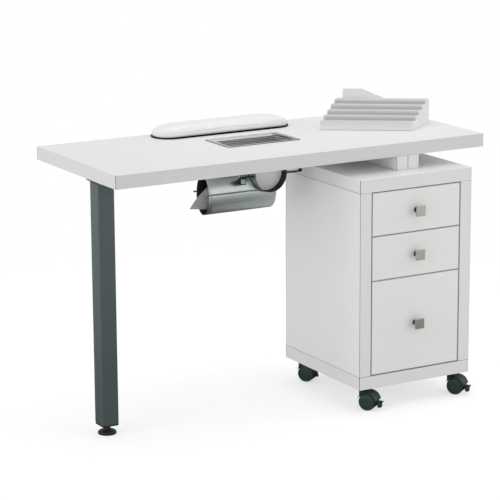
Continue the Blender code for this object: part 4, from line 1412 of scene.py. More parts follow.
def build_hopper():
    """The frame's hopper, with a row of screws along each long flange."""
    cover(["intake_hopper"], finish("brushed_steel"))
    low, high = corners("intake_hopper")
    flange = high[2] - 0.0015
    heads = [
        screw((x, y, flange), -Z, 0.0034, 0.0016)
        for x in np.linspace(low[0] + 0.006, high[0] - 0.006, 4)
        for y in (low[1] + 0.006, high[1] - 0.006)
    ]
    make("hopper_screws", heads, finish("zinc_plated_steel"), "table")


def build_fan():
    """A motor can with vent slots and a stepped end, and a wheel of curved blades between a disc and a
    hub."""
    low, high = corners("fan_motor")
    pivot = np.array(JOINTS["fan_spin"]["pos_m"], float)
    radius = (high[1] - low[1]) / 2
    can_start = low[0] + 0.024
    start = can_start - low[0]
    length = high[0] - low[0]
    profile = [(0.0, 0.0), (0.0017, 0.0), (0.0020, 0.0003), (0.0020, start - 0.003), (0.0055, start - 0.003)]
    profile += [(0.0058, start - 0.0002), (radius - 0.002, start), (radius - 0.0005, start + 0.0006)]
    profile += [(radius, start + 0.0020), (radius, start + 0.007), (radius - 0.0006, start + 0.0075)]
    profile += [(radius - 0.0006, start + 0.011), (radius, start + 0.0115), (radius, length - 0.004)]
    profile += [(radius - 0.0004, length - 0.0035), (radius - 0.0004, length), (0.0, length)]

    def vents(height, turn):
        """Slots along the can: its radius is a twentieth less where the sine of eight turns is over 0.35."""
        slotted = (height > start + 0.0125) & (height < length - 0.006)
        return 1 - 0.05 * slotted * (np.sin(8 * turn) > 0.35)

    motor = turned(profile, (low[0], pivot[1], pivot[2]), X, 96, ripple=vents)
    make(
        "motor_can", motor, finish("slate_painted_steel"), "lower_shell", ["fan_motor"]
    )
    low, high = corners("fan_wheel")
    outer = (high[1] - low[1]) / 2 - 0.0004
    width = high[0] - low[0]
    hub = [(0.0025, 0.0), (0.0055, 0.0), (0.0062, 0.0008), (0.0066, width - 0.0030), (0.0090, width - 0.0015)]
    hub += [(outer, width - 0.0015), (outer, width - 0.0002), (0.0025, width - 0.0002)]
    skins = [turned(hub, (low[0], pivot[1], pivot[2]), X, 64, joined=True)]
    rim = [(outer - 0.0015, 0.0), (outer, 0.0), (outer, 0.0012), (outer - 0.0015, 0.0012)]
    skins.append(turned(rim, (low[0], pivot[1], pivot[2]), X, 64, joined=True))
    share = np.linspace(0.0, 1.0, 9)
    reach = 0.0058 + share * (outer - 0.0066)
    for i in range(10):
        sweep = 2 * math.pi * i / 10 - 0.75 * share**1.3
        line = np.column_stack([reach * np.cos(sweep), reach * np.sin(sweep)])
        side = np.column_stack([-np.gradient(line[:, 1]), np.gradient(line[:, 0])])
        side = unit(side) * 0.0005
        section = np.concatenate([line + side, (line - side)[::-1]])
        blade = prism(section + pivot[1:], "x", low[0] + 0.0004, high[0] - 0.0010)
        skins.append(blade)
    make("fan_impeller", skins, finish("white_nylon"), "fan", ["fan_wheel"])


def build_filter_bag():
    """A cloth bag whose section goes from an ellipse in the casing to a flat fold, and is drawn out to a
    tail. Creases run along it: the section's radius swells and shrinks with the angle, more towards the
    tail."""
    low, high = corners("filter_bag")
    middle = casing()[0]
    length = high[0] - low[0]
    share = np.linspace(0.0, 1.0, 90)[:, None]
    turn = np.linspace(0.0, 2 * math.pi, 97)[None, :-1]
    mouth = 0.66
    body = np.clip((share - 0.02) / (mouth - 0.02), 0.0, 1.0)
    neck = body**0.85
    depth = 0.0015 + 0.0265 * neck
    height = 0.0025 + 0.0395 * neck
    close = np.sqrt(np.clip((1.0 - share) / 0.10, 0.0, 1.0))
    lift = -0.0290 * (1 - neck) ** 1.25
    folds = 0.16 * np.sin(3 * turn + 0.6) + 0.10 * np.sin(5 * turn + 2.1 + 1.5 * share)
    folds += 0.05 * np.sin(9 * turn - 4.0 * share)
    creased = 1 + folds * (1 - 0.72 * neck) * np.clip(share * 9, 0, 1)
    wrinkle = 1 + 0.018 * np.sin(26 * share + 2 * np.sin(turn)) * neck * close
    scale = np.minimum(creased * wrinkle, 1.06) * close
    x = low[0] + share * length + 0 * turn
    y = middle[0] + depth * scale * np.cos(turn)
    z = middle[1] - 0.004 + lift + height * scale * np.sin(turn)
    points = np.stack([x, y, z], -1)
    make(
        "filter_cloth_bag", stack(points), finish("filter_fabric"), "filter_bag",
        ["filter_bag"], crease=60,
    )


def build_switch():
    """The switch box with its bezel and inlet gland, and a rocker with a hollow face and a raised end."""
    low, high = corners("switch_box")
    rocker_low, rocker_high = corners("rocker_switch")
    black = finish("black_plastic")
    left = low[0] + 0.0090
    front = low[1] + 0.0004
    pocket = front + 0.0061
    body = slab((left, pocket + 0.0001, low[2]), high, 0.0010)
    gland_z = high[2] - 0.0107
    gland_y = low[1] + 0.0085
    gland = [
        (0.0, 0.0), (0.0022, 0.0), (0.0022, 0.0006), (0.0031, 0.0006), (0.0035, 0.0012), (0.0035, 0.0030)
    ]
    gland += [(0.0030, 0.0033), (0.0030, 0.0042), (0.0035, 0.0045), (0.0035, 0.0095), (0.0, 0.0095)]
    inlet = turned(gland, (low[0], gland_y, gland_z), X, 32)
    middle = (rocker_low + rocker_high)[[0, 2]] / 2
    centre = np.array((left + high[0], low[2] + high[2])) / 2
    opening = (rocker_high - rocker_low)[[0, 2]] / 2 + (0.0003, 0.0008)
    outside = np.array((high[0] - left, high[2] - low[2])) / 2
    rows = [
        (outside - 0.0008, centre, 0.0), (opening + 0.0013, middle, 0.0), (opening + 0.0010, middle, -0.0003)
    ]
    rows += [(opening, middle, -0.0003), (opening, middle, 0.0061)]
    rows += [(outside, centre, 0.0061), (outside, centre, 0.0008), (outside - 0.0003, centre, 0.0002)]
    rings = []
    for half, place, depth in rows:
        ring = corner_ring(half, 0.0010, 0.0, 0.002, 4) + place
        rings.append(np.column_stack([ring[:, 0], np.full(len(ring), front + depth), ring[:, 1]]))
    face_frame = stack(np.stack(rings), joined=True)
    skins = [body, inlet, face_frame]
    make("switch_housing", skins, black, "table", ["switch_box"], crease=40)
    low_z, high_z = rocker_low[2], rocker_high[2]
    front = rocker_low[1]
    back = rocker_high[1]
    knee = (front + 0.0022, middle[1])
    face = softened(
        [(back, low_z), (front, low_z), knee, (front + 0.0028, high_z), (back, high_z)], 0.0007, 4
    )
    rocker = prism(face, "x", rocker_low[0] + 0.0001, rocker_high[0] - 0.0001)
    make(
        "switch_rocker", rocker, finish("rocker_plastic"), "rocker",
        ["rocker_switch"], bevel=0.0003,
    )


def build_grille():
    """A flat frame with round corners, a skirt in the cut-out and five louvres, each a bent blade."""
    low, high = corners("extractor_grille")
    steel = finish("polished_steel")
    half = (high[:2] - low[:2]) / 2
    middle = (high[:2] + low[:2]) / 2
    border = 0.012
    floor = high[2] - 0.0015
    thickness = 0.0015
    climb = rounding(0.0005, 0.0015)
    rings = []
    for inset, rise in [*climb, *[(i, thickness - r) for i, r in climb[::-1]]]:
        rings.append((inset, min(rise, thickness) + floor, 0.004))
    opening = [(border - i, thickness - r + floor, 0.002) for i, r in climb]
    opening += [(border, low[2], 0.002), (border - 0.0010, low[2], 0.002), (border - 0.0010, floor, 0.002)]
    plan = []
    for inset, z, radius in rings + opening:
        ring = corner_ring(half - inset, radius, 0.0, 0.005, 6) + middle
        plan.append(np.column_stack([ring, np.full(len(ring), z)]))
    frame_skin = stack(np.stack(plan), joined=True)
    make("grille_frame", frame_skin, steel, "grille", ["extractor_grille"], flat_faces=True)
    opening_low = low[1] + border
    opening_high = high[1] - border
    count = 5
    span = opening_high - opening_low
    bend = np.linspace(-1.0, 1.0, 13)
    tilt = math.radians(-32.0)
    chord = 0.0087
    camber = 0.0012 * (1 - bend**2)
    blades = []
    for i in range(count):
        y = opening_low + span * (i + 0.5) / count
        line = np.column_stack([bend * chord, camber])
        top = line + np.column_stack([np.zeros(13), np.full(13, 0.0005)])
        bottom = (line - np.column_stack([np.zeros(13), np.full(13, 0.0005)]))[::-1]
        section = np.concatenate([top, bottom])
        turn = np.array([[math.cos(tilt), math.sin(tilt)], [-math.sin(tilt), math.cos(tilt)]])
        section = section @ turn + (y, 0.7545)
        blades.append(prism(section, "x", low[0] + border - 0.0002, high[0] - border + 0.0002))
    make("grille_louvres", blades, steel, "grille", bevel=0.0002)
    heads = [
        screw((x, y, high[2] - 0.0007), Z, 0.0024, 0.0007)
        for x in (low[0] + 0.006, high[0] - 0.006)
        for y in (low[1] + 0.006, high[1] - 0.006)
    ]
    make("grille_corner_screws", heads, finish("slate_painted_steel"), "grille")


# --- armrest and rack ---


def pad_outline(low, high, inset, steps=10):
    """The pad's plan at an inset: a rectangle whose ends are almost half circles."""
    half = (high[:2] - low[:2]) / 2
    radius = 0.048
    return corner_ring(half, radius, inset, radius + 0.004, steps) + (low[:2] + high[:2]) / 2


def blown_up(skin, low, high, swell):
    """The closed skin as a cushion: remeshed, inflated as cloth with its underside held, and kept within the
    swell of where it started and inside its box."""
    mesh = bpy.data.meshes.new("pad")
    mesh.from_pydata(skin.points.tolist(), [], skin.faces)
    shaped = bmesh.new()
    shaped.from_mesh(mesh)
    bmesh.ops.remove_doubles(shaped, verts=shaped.verts, dist=2e-6)
    bmesh.ops.recalc_face_normals(shaped, faces=shaped.faces)
    shaped.to_mesh(mesh)
    shaped.free()
    pad = bpy.data.objects.new("pad", mesh)
    bpy.context.scene.collection.objects.link(pad)
    bpy.context.view_layer.objects.active = pad
    pad.select_set(True)
    mesh.remesh_voxel_size = 0.0045
    bpy.ops.object.voxel_remesh()
    start = np.empty(len(pad.data.vertices) * 3)
    pad.data.vertices.foreach_get("co", start)
    start = start.reshape(-1, 3)
    held = pad.vertex_groups.new(name="held")
    held.add(np.flatnonzero(start[:, 2] < low[2] + 0.004).tolist(), 1.0, "REPLACE")
    cloth = pad.modifiers.new("cloth", "CLOTH")
    settings = cloth.settings
    settings.quality = 5
    settings.mass = 0.4
    settings.tension_stiffness = 25.0
    settings.compression_stiffness = 25.0
    settings.shear_stiffness = 12.0
    settings.bending_stiffness = 0.6
    settings.use_pressure = True
    settings.uniform_pressure_force = 4.0
    settings.vertex_group_mass = "held"
    settings.effector_weights.gravity = 0.0
    for step in range(1, 21):
        bpy.context.scene.frame_set(step)
    evaluated = pad.evaluated_get(bpy.context.evaluated_depsgraph_get())
    moved = np.empty(len(start) * 3)
    evaluated.data.vertices.foreach_get("co", moved)
    moved = moved.reshape(-1, 3)
    pad.modifiers.remove(cloth)
    bpy.context.scene.frame_set(1)
    change = moved - start
    length = np.linalg.norm(change, axis=1, keepdims=True)
    start = start + change * np.minimum(1.0, swell / np.maximum(length, 1e-9))
    return pad, np.clip(start, low, high)


def crown_at(x, low, high):
    """The share of its height that the cushion keeps at x: a quarter circle from each end to the full
    reach."""
    size = sizes()
    share = np.clip(np.minimum(x - low[0], high[0] - x) / size.crown_reach, 0.0, 1.0)
    return size.crown_height * (size.crown_end + (1 - size.crown_end) * np.sqrt(1 - (1 - share) ** 2))


def build_armrest():
    """The base board with a rounded rim, the cushion with its sewn seam, and the piping round the seam."""
    low, high = corners("armrest_base")
    climb = rounding(0.0012, 0.004)
    rows = [(inset, low[2] + rise) for inset, rise in climb] + [
        (inset, high[2] - rise) for inset, rise in climb[::-1]
    ]
    rings = [level(pad_outline(low, high, inset), z) for inset, z in rows if inset < 0.004]
    make(
        "armrest_board", stack(np.stack(rings)), finish("black_plastic"), "armrest",
        ["armrest_base"],
    )

    size = sizes()
    low, high = corners("armrest_pad")
    tall = high[2] - low[2]
    levels = ((0.010, 0.0), (0.0045, 0.05), (0.0030, 0.30), (0.0040, 0.58), (0.0075, 0.77), (0.0150, 0.89))
    levels += ((0.030, 0.94), (0.044, 0.95))
    rings = [level(pad_outline(low, high, inset), low[2] + share * tall) for inset, share in levels]
    pad, points = blown_up(stack(np.stack(rings)), low, high, 0.006)
    middle = (low + high) / 2
    inward = unit((middle - points) * (0.25, 1.0, 0.0) + 1e-9)
    side = points[:, 2] - low[2] - size.seam_height * tall
    points = points + inward * (size.seam_depth * np.exp(-((side / 0.0022) ** 2)))[:, None]
    rise = (points[:, 2] - low[2]) * crown_at(points[:, 0], low, high)
    foot = size.pad_overhang * np.clip(1 - rise / 0.012, 0.0, 1.0)
    points = np.column_stack([points[:, :2], low[2] + rise - foot])
    pad.data.vertices.foreach_set("co", points.ravel())
    pad.data.update()
    pad.name = "armrest_cushion"
    pad.data.materials.clear()
    pad.data.materials.append(finish("white_padded_vinyl"))
    pad.data.shade_smooth()
    smooth = pad.modifiers.new("smooth", "SUBSURF")
    smooth.levels = 1
    smooth.render_levels = 1
    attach(pad, "armrest")
    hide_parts("armrest_pad")
    build_piping(points, low, high)


def build_piping(points, low, high):
    """A thin cord sewn along the seam: its path is the cushion's own outline at the seam's height."""
    size = sizes()
    middle = (low + high) / 2
    loop = pad_outline(low, high, 0.0)
    spacing = np.linalg.norm(np.diff(loop, axis=0, append=loop[:1]), axis=1)
    loop = resampled(loop[spacing > 1e-7], 240)
    seam = size.seam_height * (high[2] - low[2])
    height = low[2] + seam * crown_at(loop[:, 0], low, high)
    level_of = low[2] + seam * crown_at(points[:, 0], low, high)
    band = points[np.abs(points[:, 2] - level_of) < 0.004]
    outward = unit(loop - middle[:2])
    gaps = ((loop[:, None] - band[None, :, :2]) ** 2).sum(-1)
    nearest = band[np.argsort(gaps, axis=1)[:, :6]][..., :2].mean(1)
    depth = ((loop - nearest) * outward).sum(-1)
    depth = np.convolve(np.concatenate([depth[-12:], depth, depth[:12]]), np.ones(25) / 25, "valid")
    path = loop - outward * (depth + size.seam_depth * 0.2)[:, None]
    cord = swept(np.column_stack([path, height]), arc((0, 0), 0.0012, 0, 324, 9), Z, joined=True)
    make("armrest_piping", cord, finish("white_padded_vinyl"), "armrest")


def build_rack():
    """Five tiers open underneath: an outer stepped skin, an inner one a wall inside it, a rim between
    them, and a low header standing at the left of the back."""
    low, high = corners("polish_rack")
    size = sizes()
    floor = low[2]
    tops = floor + size.rack_first_rise + size.rack_rise * np.arange(5)
    outer = [(0.0, floor)]
    inner = [(0.10, floor)]
    for i, top in enumerate(tops):
        outer += [(i, top), (i + 1, top)]
        inner += [(i + 0.10, top - 0.003), (i + 1.10 if i < 4 else 4.90, top - 0.003)]
    outer.append((5.0, floor))
    inner.append((4.90, floor))
    length = size.rack_length
    stations = (0.0, 0.004, length - 0.004, length)
    shell = stack(np.stack([rack_points(outer, at) for at in stations]))
    hollow = stack(
        np.stack([rack_points(inner, at) for at in (0.003, 0.004, length - 0.004, length - 0.003)])
    )
    along = (0.0, 0.004, length - 0.004, length)
    along_in = (0.003, 0.004, length - 0.004, length - 0.003)
    rim = np.concatenate(
        [
            [rack_points(outer[:1], at)[0] for at in along],
            [rack_points(outer[-1:], at)[0] for at in along[::-1]],
        ]
    )
    rim_in = np.concatenate(
        [
            [rack_points(inner[:1], at)[0] for at in along_in],
            [rack_points(inner[-1:], at)[0] for at in along_in[::-1]],
        ]
    )
    count = len(outer)
    underside = (0, count - 1)
    shell.faces = [
        face for face in shell.faces if len(face) > 4 or {corner % count for corner in face} != set(underside)
    ]
    hollow.faces = [
        face
        for face in hollow.faces if len(face) > 4 or {corner % count
        for corner in face} != set(underside)
    ]
    foot = stack(np.stack([rim, rim_in]), caps=False)
    # Painted shade along each step: darkest at the back of a tread and the foot of the next riser, none on the
    # ends.
    step_shade = np.array(
        [0.0] + [value for i in range(5) for value in (0.45, 1.0 if i < 4 else 0.45)] + [0.0]
    )
    shell.strip = np.concatenate([0 * step_shade, step_shade, step_shade, 0 * step_shade])
    white = finish("white_moulded_plastic")
    make(
        "rack_tiers", [shell, hollow, foot], white, "polish_rack", ["polish_rack"],
        bevel=size.rack_round,
    )

    base = tops[-1] - 0.0005
    top = high[2]
    corners_up = [(0.016, base), (0.143, base), (0.074, top), (0.016, top)]
    outline = softened(corners_up, 0.003, 5, True)
    front = rack_points(np.column_stack([np.full(len(outline), 4.88), outline[:, 1]]), outline[:, 0])
    back = rack_points(np.column_stack([np.full(len(outline), 4.995), outline[:, 1]]), outline[:, 0])
    header = stack(np.stack([front, back]))
    make("rack_header", header, white, "polish_rack", bevel=0.0006)


def rack_points(profile, distance):
    """Points of (depth in treads, height) pairs at a distance along the rack, whose treads run back askew."""
    size = sizes()
    profile = np.asarray(profile, float)
    turn, tread_turn = size.rack_turn, size.rack_tread_turn
    along = np.array((math.cos(turn), math.sin(turn)))
    back = np.array((math.cos(tread_turn), math.sin(tread_turn))) * size.rack_tread
    low, high = corners("polish_rack")
    start = np.array((low[0], high[1] - 5 * back[1]))
    plan = start + np.asarray(distance, float).reshape(-1, 1) * along + profile[:, :1] * back
    return np.column_stack([plan, profile[:, 1]])


# --- stage ---


def build_stage():
    """A pale floor, soft lamps and the camera."""
    stage = bpy.context.scene.table_stage
    ground_mesh = bpy.data.meshes.new("studio_floor")
    reach = 40.0
    share = np.linspace(-1.0, 1.0, 3)
    a, b = np.meshgrid(share, share, indexing="ij")
    points = np.stack([a * reach, b * reach, np.zeros_like(a)], -1).reshape(-1, 3)
    ground_mesh.from_pydata(points.tolist(), [], quads(3, 3).reshape(-1, 4)[:, ::-1].tolist())
    ground_mesh.materials.append(floor_paint())
    floor = bpy.data.objects.new("studio_floor", ground_mesh)
    bpy.context.scene.collection.objects.link(floor)
    lamps = (
        ("overhead", (0.5, 0.4, 2.7), (0.1, 0.0, 0.4), 2.8, stage.overhead),
        ("left", (-4.4, -1.0, 1.3), (0.0, 0.0, 0.45), 3.6, stage.left),
        ("front", (2.0, -3.6, 1.2), (0.2, 0.0, 0.45), 3.0, stage.front),
        ("right", (3.8, -1.0, 1.5), (0.3, 0.0, 0.6), 1.6, stage.right),
        ("back", (-3.2, 4.4, 1.0), (-0.3, 0.0, 0.4), 2.6, stage.back),
    )
    for name, place, target, size, power in lamps:
        lamp = bpy.data.lights.new(name, "AREA")
        lamp.energy = power
        lamp.size = size
        item = bpy.data.objects.new(name, lamp)
        item.location = place
        item.rotation_euler = (Vector(target) - Vector(place)).to_track_quat("-Z", "Y").to_euler()
        bpy.context.scene.collection.objects.link(item)
    world = bpy.data.worlds.new("studio")
    world.use_nodes = True
    tree = world.node_tree
    backdrop = tree.nodes["Background"]
    backdrop.inputs["Color"].default_value = (1.0, 1.0, 1.0, 1.0)
    seen = add_node(tree, "ShaderNodeLightPath").outputs["Is Camera Ray"]
    strength = spread(tree, seen, 0.0, 1.0, stage.ambient, 1.0)
    tree.links.new(strength, backdrop.inputs["Strength"])
    bpy.context.scene.world = world
    bpy.context.scene.view_settings.view_transform = "Standard"
    build_camera(stage)


def floor_paint():
    """Pale paper that turns to plain white away from the table. Only the camera sees the white. Glossy rays see it
    dark near the table and pale far off: a painted dark reflection.
    """
    paint = bpy.data.materials.new("studio_floor")
    paint.use_nodes = True
    tree = paint.node_tree
    shader = tree.nodes["Principled BSDF"]
    shader.inputs["Roughness"].default_value = 0.9
    shader.inputs["Specular IOR Level"].default_value = 0.0
    rays = add_node(tree, "ShaderNodeLightPath").outputs
    seen = rays["Is Camera Ray"]
    place = add_node(tree, "ShaderNodeTexCoord").outputs["Object"]
    distance = add_node(tree, "ShaderNodeVectorMath", {0: place}, operation="LENGTH").outputs["Value"]
    # Painted reflection: glossy rays see the floor dark near the table and pale far off.
    painted_reflection = spread(tree, distance, 0.7, 3.3, 0.12, 0.92)
    bounce = spread(tree, rays["Is Glossy Ray"], 0.0, 1.0, 0.78, painted_reflection)
    far = add_node(
        tree,
        "ShaderNodeMapRange",
        {"Value": distance, 1: 0.9, 2: 2.0, 3: 0.0, 4: 1.0},
        interpolation_type="SMOOTHSTEP",
    ).outputs["Result"]
    faded = times(tree, far, seen)
    near = times(tree, 0.60, seen)
    rest = times(tree, 0.40, faded)
    glow = add_node(tree, "ShaderNodeMath", {0: near, 1: rest}, operation="ADD").outputs[0]
    links = {0: seen, 6: bounce, 7: (0.50, 0.50, 0.50, 1.0)}
    paper = add_node(tree, "ShaderNodeMix", links, data_type="RGBA").outputs[2]
    links = {0: faded, 6: paper, 7: (0.0, 0.0, 0.0, 1.0)}
    colour = add_node(tree, "ShaderNodeMix", links, data_type="RGBA").outputs[2]
    tree.links.new(colour, shader.inputs["Base Color"])
    shader.inputs["Emission Color"].default_value = (1.0, 1.0, 1.0, 1.0)
    tree.links.new(glow, shader.inputs["Emission Strength"])
    return paint


def build_camera(stage):
    """A long lens from the front left, turned by its yaw, then tipped down, then rolled."""
    yaw, pitch, roll = stage.yaw, stage.pitch, stage.roll
    forward = Vector((math.sin(yaw) * math.cos(pitch), math.cos(yaw) * math.cos(pitch), -math.sin(pitch)))
    level = Vector((math.cos(yaw), -math.sin(yaw), 0.0))
    upright = level.cross(forward)
    right = math.cos(roll) * level + math.sin(roll) * upright
    up = math.cos(roll) * upright - math.sin(roll) * level
    lens = bpy.data.cameras.new("camera")
    lens.lens = stage.lens
    lens.sensor_width = 36.0
    lens.clip_end = 200.0
    camera = bpy.data.objects.new("camera", lens)
    camera.matrix_world = Matrix((
        (right[0], up[0], -forward[0], stage.camera_place[0]),
        (right[1], up[1], -forward[1], stage.camera_place[1]),
        (right[2], up[2], -forward[2], stage.camera_place[2]),
        (0.0, 0.0, 0.0, 1.0),
    ))
    bpy.context.scene.collection.objects.link(camera)
    bpy.context.scene.camera = camera


# --- add-on ---


def colour_property(label, words, default):
    """A colour that the user can change."""
    return FloatVectorProperty(
        name=label, description=words, subtype="COLOR", size=3, min=0.0, max=1.0, default=default
    )


class TableColours(bpy.types.PropertyGroup):
    """Base colours of the table's finishes."""

    laminate: colour_property(
        "Laminate", "Worktop, cabinet and drawer fronts", SLOT_COLOURS["white_laminate"]
    )
    drawer_board: colour_property("Drawer board", "Drawer boxes", SLOT_COLOURS["drawer_board"])
    leg: colour_property("Leg", "Powder coat on the leg", (0.055, 0.083, 0.083))
    black: colour_property("Black plastic", "Foot, caps and armrest base", SLOT_COLOURS["black_plastic"])
    castor: colour_property("Castors", "Castor hoods and wheels", (0.014, 0.037, 0.034))
    rack: colour_property("Rack", "Polish rack", (0.81, 0.81, 0.80))
    nylon: colour_property("Nylon", "Fan wheel and rocker", (0.80, 0.80, 0.77))
    # Near black: painted shade inside the extractor's casing and on its sheet's edges.
    lining: colour_property("Lining", "Inside of the extractor's sheet", (0.022, 0.026, 0.026))
    rocker: colour_property("Rocker", "Rocker switch", (0.36, 0.39, 0.385))
    steel: colour_property("Brushed steel", "Extractor casing", (0.60, 0.66, 0.66))
    nickel: colour_property("Nickel", "Drawer knobs", SLOT_COLOURS["satin_nickel"])
    chrome: colour_property("Polished steel", "Grille", SLOT_COLOURS["polished_steel"])
    zinc: colour_property("Zinc", "Runners, plates and screws", SLOT_COLOURS["zinc_plated_steel"])
    vinyl: colour_property("Vinyl", "Armrest cover", (0.90, 0.90, 0.89))
    filter_cloth: colour_property("Filter cloth", "Filter bag", SLOT_COLOURS["filter_fabric"])


class TableSizes(bpy.types.PropertyGroup):
    """Sizes that the frame's boxes don't give."""

    cutout_margin: FloatProperty(
        name="Cut-out margin", description="From the grille's rim to the cut-out", default=0.008,
        unit="LENGTH",
    )
    seam_height: FloatProperty(
        name="Seam height", description="Share of the cushion's height", default=0.52, subtype="FACTOR"
    )
    seam_depth: FloatProperty(
        name="Seam depth", description="How far the seam draws the cover in", default=0.0016, unit="LENGTH"
    )
    crown_reach: FloatProperty(
        name="Crown reach", description="How far from its ends the cushion is at full height", default=0.085,
        unit="LENGTH",
    )
    crown_height: FloatProperty(
        name="Crown height", description="Share of the cushion's box that its height fills", default=0.75,
        subtype="FACTOR",
    )
    crown_end: FloatProperty(
        name="Crown end", description="Share of the height left at its ends", default=0.30, subtype="FACTOR"
    )
    pad_overhang: FloatProperty(
        name="Cushion overhang", description="How far its foot comes down over the board", default=0.0022,
        unit="LENGTH",
    )
    rack_length: FloatProperty(
        name="Rack length", description="Along the tiers", default=0.275, unit="LENGTH"
    )
    rack_tread: FloatProperty(
        name="Rack tread", description="Depth of one tier", default=0.0322, unit="LENGTH"
    )
    rack_first_rise: FloatProperty(
        name="First rise", description="Height of the first tier", default=0.026, unit="LENGTH"
    )
    rack_rise: FloatProperty(name="Rise", description="Step from tier to tier", default=0.0113, unit="LENGTH")
    rack_round: FloatProperty(
        name="Rack rounding", description="Rounding of the tiers' arrises", default=0.0008, unit="LENGTH"
    )
    rack_turn: FloatProperty(
        name="Rack turn", description="The tiers' direction on the worktop", default=math.radians(-35.4),
        subtype="ANGLE",
    )
    rack_tread_turn: FloatProperty(
        name="Tread turn", description="The direction from tier to tier", default=math.radians(38.7),
        subtype="ANGLE",
    )


class TableStage(bpy.types.PropertyGroup):
    """Camera and lamps."""

    camera_place: FloatVectorProperty(
        name="Camera place", description="Where the camera stands", default=(-3.1811, -5.4166, 1.9315),
        subtype="TRANSLATION",
    )
    lens: FloatProperty(name="Lens", description="Focal length in millimetres", default=160.15)
    yaw: FloatProperty(name="Yaw", description="Turn to the right of +Y", default=0.52101, subtype="ANGLE")
    pitch: FloatProperty(name="Pitch", description="Tip below the horizon", default=0.23264, subtype="ANGLE")
    roll: FloatProperty(name="Roll", description="Tilt about the view", default=-0.00586, subtype="ANGLE")
    overhead: FloatProperty(
        name="Overhead", description="Power of the overhead lamp", default=24.0, subtype="POWER"
    )
    left: FloatProperty(name="Left", description="Power of the left lamp", default=84.0, subtype="POWER")
    front: FloatProperty(name="Front", description="Power of the front lamp", default=22.0, subtype="POWER")
    right: FloatProperty(name="Right", description="Power of the right lamp", default=24.0, subtype="POWER")
    back: FloatProperty(name="Back", description="Power of the back lamp", default=8.0, subtype="POWER")
    ambient: FloatProperty(name="Ambient", description="Strength of the surrounding white", default=0.56)


class TABLE_OT_stage(bpy.types.Operator):
    """Set the floor, the lamps and the camera"""

    bl_idname = "table.stage"
    bl_label = "Stage"

    def execute(self, context):
        build_stage()
        return {"FINISHED"}


class TABLE_OT_worktop(bpy.types.Operator):
    """Make the banded worktop with its cut-out"""

    bl_idname = "table.worktop"
    bl_label = "Worktop"

    def execute(self, context):
        build_worktop()
        return {"FINISHED"}


class TABLE_OT_leg(bpy.types.Operator):
    """Make the leg, its cap and its levelling foot"""

    bl_idname = "table.leg"
    bl_label = "Leg"

    def execute(self, context):
        build_leg()
        return {"FINISHED"}


class TABLE_OT_cabinet(bpy.types.Operator):
    """Make the cabinet's boards and the spacers"""

    bl_idname = "table.cabinet"
    bl_label = "Cabinet"

    def execute(self, context):
        build_cabinet()
        return {"FINISHED"}


class TABLE_OT_drawers(bpy.types.Operator):
    """Make the drawer fronts, knobs and fittings"""

    bl_idname = "table.drawers"
    bl_label = "Drawers"

    def execute(self, context):
        build_drawers()
        return {"FINISHED"}


class TABLE_OT_castors(bpy.types.Operator):
    """Make the four castors"""

    bl_idname = "table.castors"
    bl_label = "Castors"

    def execute(self, context):
        build_castors()
        return {"FINISHED"}


class TABLE_OT_casing(bpy.types.Operator):
    """Make the extractor's shells and hinge"""

    bl_idname = "table.casing"
    bl_label = "Casing"

    def execute(self, context):
        build_upper_shell()
        build_lower_shell()
        build_pin()
        return {"FINISHED"}


class TABLE_OT_intake(bpy.types.Operator):
    """Make the hopper, the trough and its plate"""

    bl_idname = "table.intake"
    bl_label = "Intake"

    def execute(self, context):
        build_trough()
        build_hopper()
        return {"FINISHED"}


class TABLE_OT_fan(bpy.types.Operator):
    """Make the motor and the fan wheel"""

    bl_idname = "table.fan"
    bl_label = "Fan"

    def execute(self, context):
        build_fan()
        return {"FINISHED"}


class TABLE_OT_filter_bag(bpy.types.Operator):
    """Make the filter bag"""

    bl_idname = "table.filter_bag"
    bl_label = "Filter bag"

    def execute(self, context):
        build_filter_bag()
        return {"FINISHED"}


class TABLE_OT_switch(bpy.types.Operator):
    """Make the switch box and its rocker"""

    bl_idname = "table.switch"
    bl_label = "Switch"

    def execute(self, context):
        build_switch()
        return {"FINISHED"}


class TABLE_OT_grille(bpy.types.Operator):
    """Make the grille in the worktop"""

    bl_idname = "table.grille"
    bl_label = "Grille"

    def execute(self, context):
        build_grille()
        return {"FINISHED"}


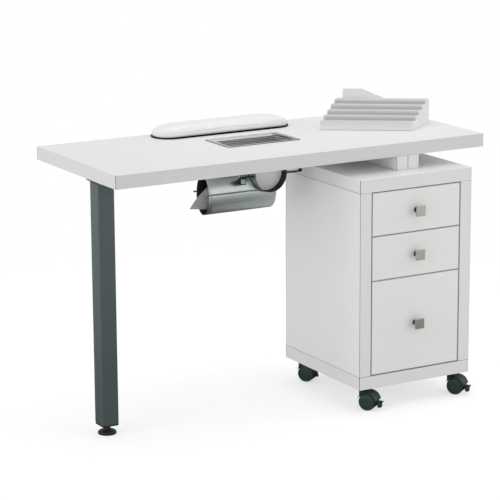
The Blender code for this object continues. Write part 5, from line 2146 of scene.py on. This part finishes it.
class TABLE_OT_armrest(bpy.types.Operator):
    """Make the padded armrest"""

    bl_idname = "table.armrest"
    bl_label = "Armrest"

    def execute(self, context):
        build_armrest()
        return {"FINISHED"}


class TABLE_OT_rack(bpy.types.Operator):
    """Make the stepped polish rack"""

    bl_idname = "table.rack"
    bl_label = "Rack"

    def execute(self, context):
        build_rack()
        return {"FINISHED"}


OPERATORS = (
    TABLE_OT_stage,
    TABLE_OT_worktop,
    TABLE_OT_leg,
    TABLE_OT_cabinet,
    TABLE_OT_drawers,
    TABLE_OT_castors,
    TABLE_OT_casing,
    TABLE_OT_intake,
    TABLE_OT_fan,
    TABLE_OT_filter_bag,
    TABLE_OT_switch,
    TABLE_OT_grille,
    TABLE_OT_armrest,
    TABLE_OT_rack,
)


class TABLE_PT_build(bpy.types.Panel):
    """Lists the builders of the table's pieces."""

    bl_label = "Manicure Table"
    bl_space_type = "VIEW_3D"
    bl_region_type = "UI"
    bl_category = "Table"

    def draw(self, context):
        for entry in OPERATORS:
            self.layout.operator(entry.bl_idname)


CLASSES = (TableColours, TableSizes, TableStage, *OPERATORS, TABLE_PT_build)


def register():
    """Add the classes, and hang the three groups of settings on the scene."""
    for entry in CLASSES:
        bpy.utils.register_class(entry)
    bpy.types.Scene.table_colours = PointerProperty(type=TableColours)
    bpy.types.Scene.table_sizes = PointerProperty(type=TableSizes)
    bpy.types.Scene.table_stage = PointerProperty(type=TableStage)


def unregister():
    """Take away what register added, in the opposite order."""
    del bpy.types.Scene.table_stage
    del bpy.types.Scene.table_sizes
    del bpy.types.Scene.table_colours
    for entry in reversed(CLASSES):
        bpy.utils.unregister_class(entry)


def main():
    """Register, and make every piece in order."""
    register()
    bpy.ops.table.stage()
    bpy.ops.table.worktop()
    bpy.ops.table.leg()
    bpy.ops.table.cabinet()
    bpy.ops.table.drawers()
    bpy.ops.table.castors()
    bpy.ops.table.casing()
    bpy.ops.table.intake()
    bpy.ops.table.fan()
    bpy.ops.table.filter_bag()
    bpy.ops.table.switch()
    bpy.ops.table.grille()
    bpy.ops.table.armrest()
    bpy.ops.table.rack()


if __name__ == "__main__":
    main()
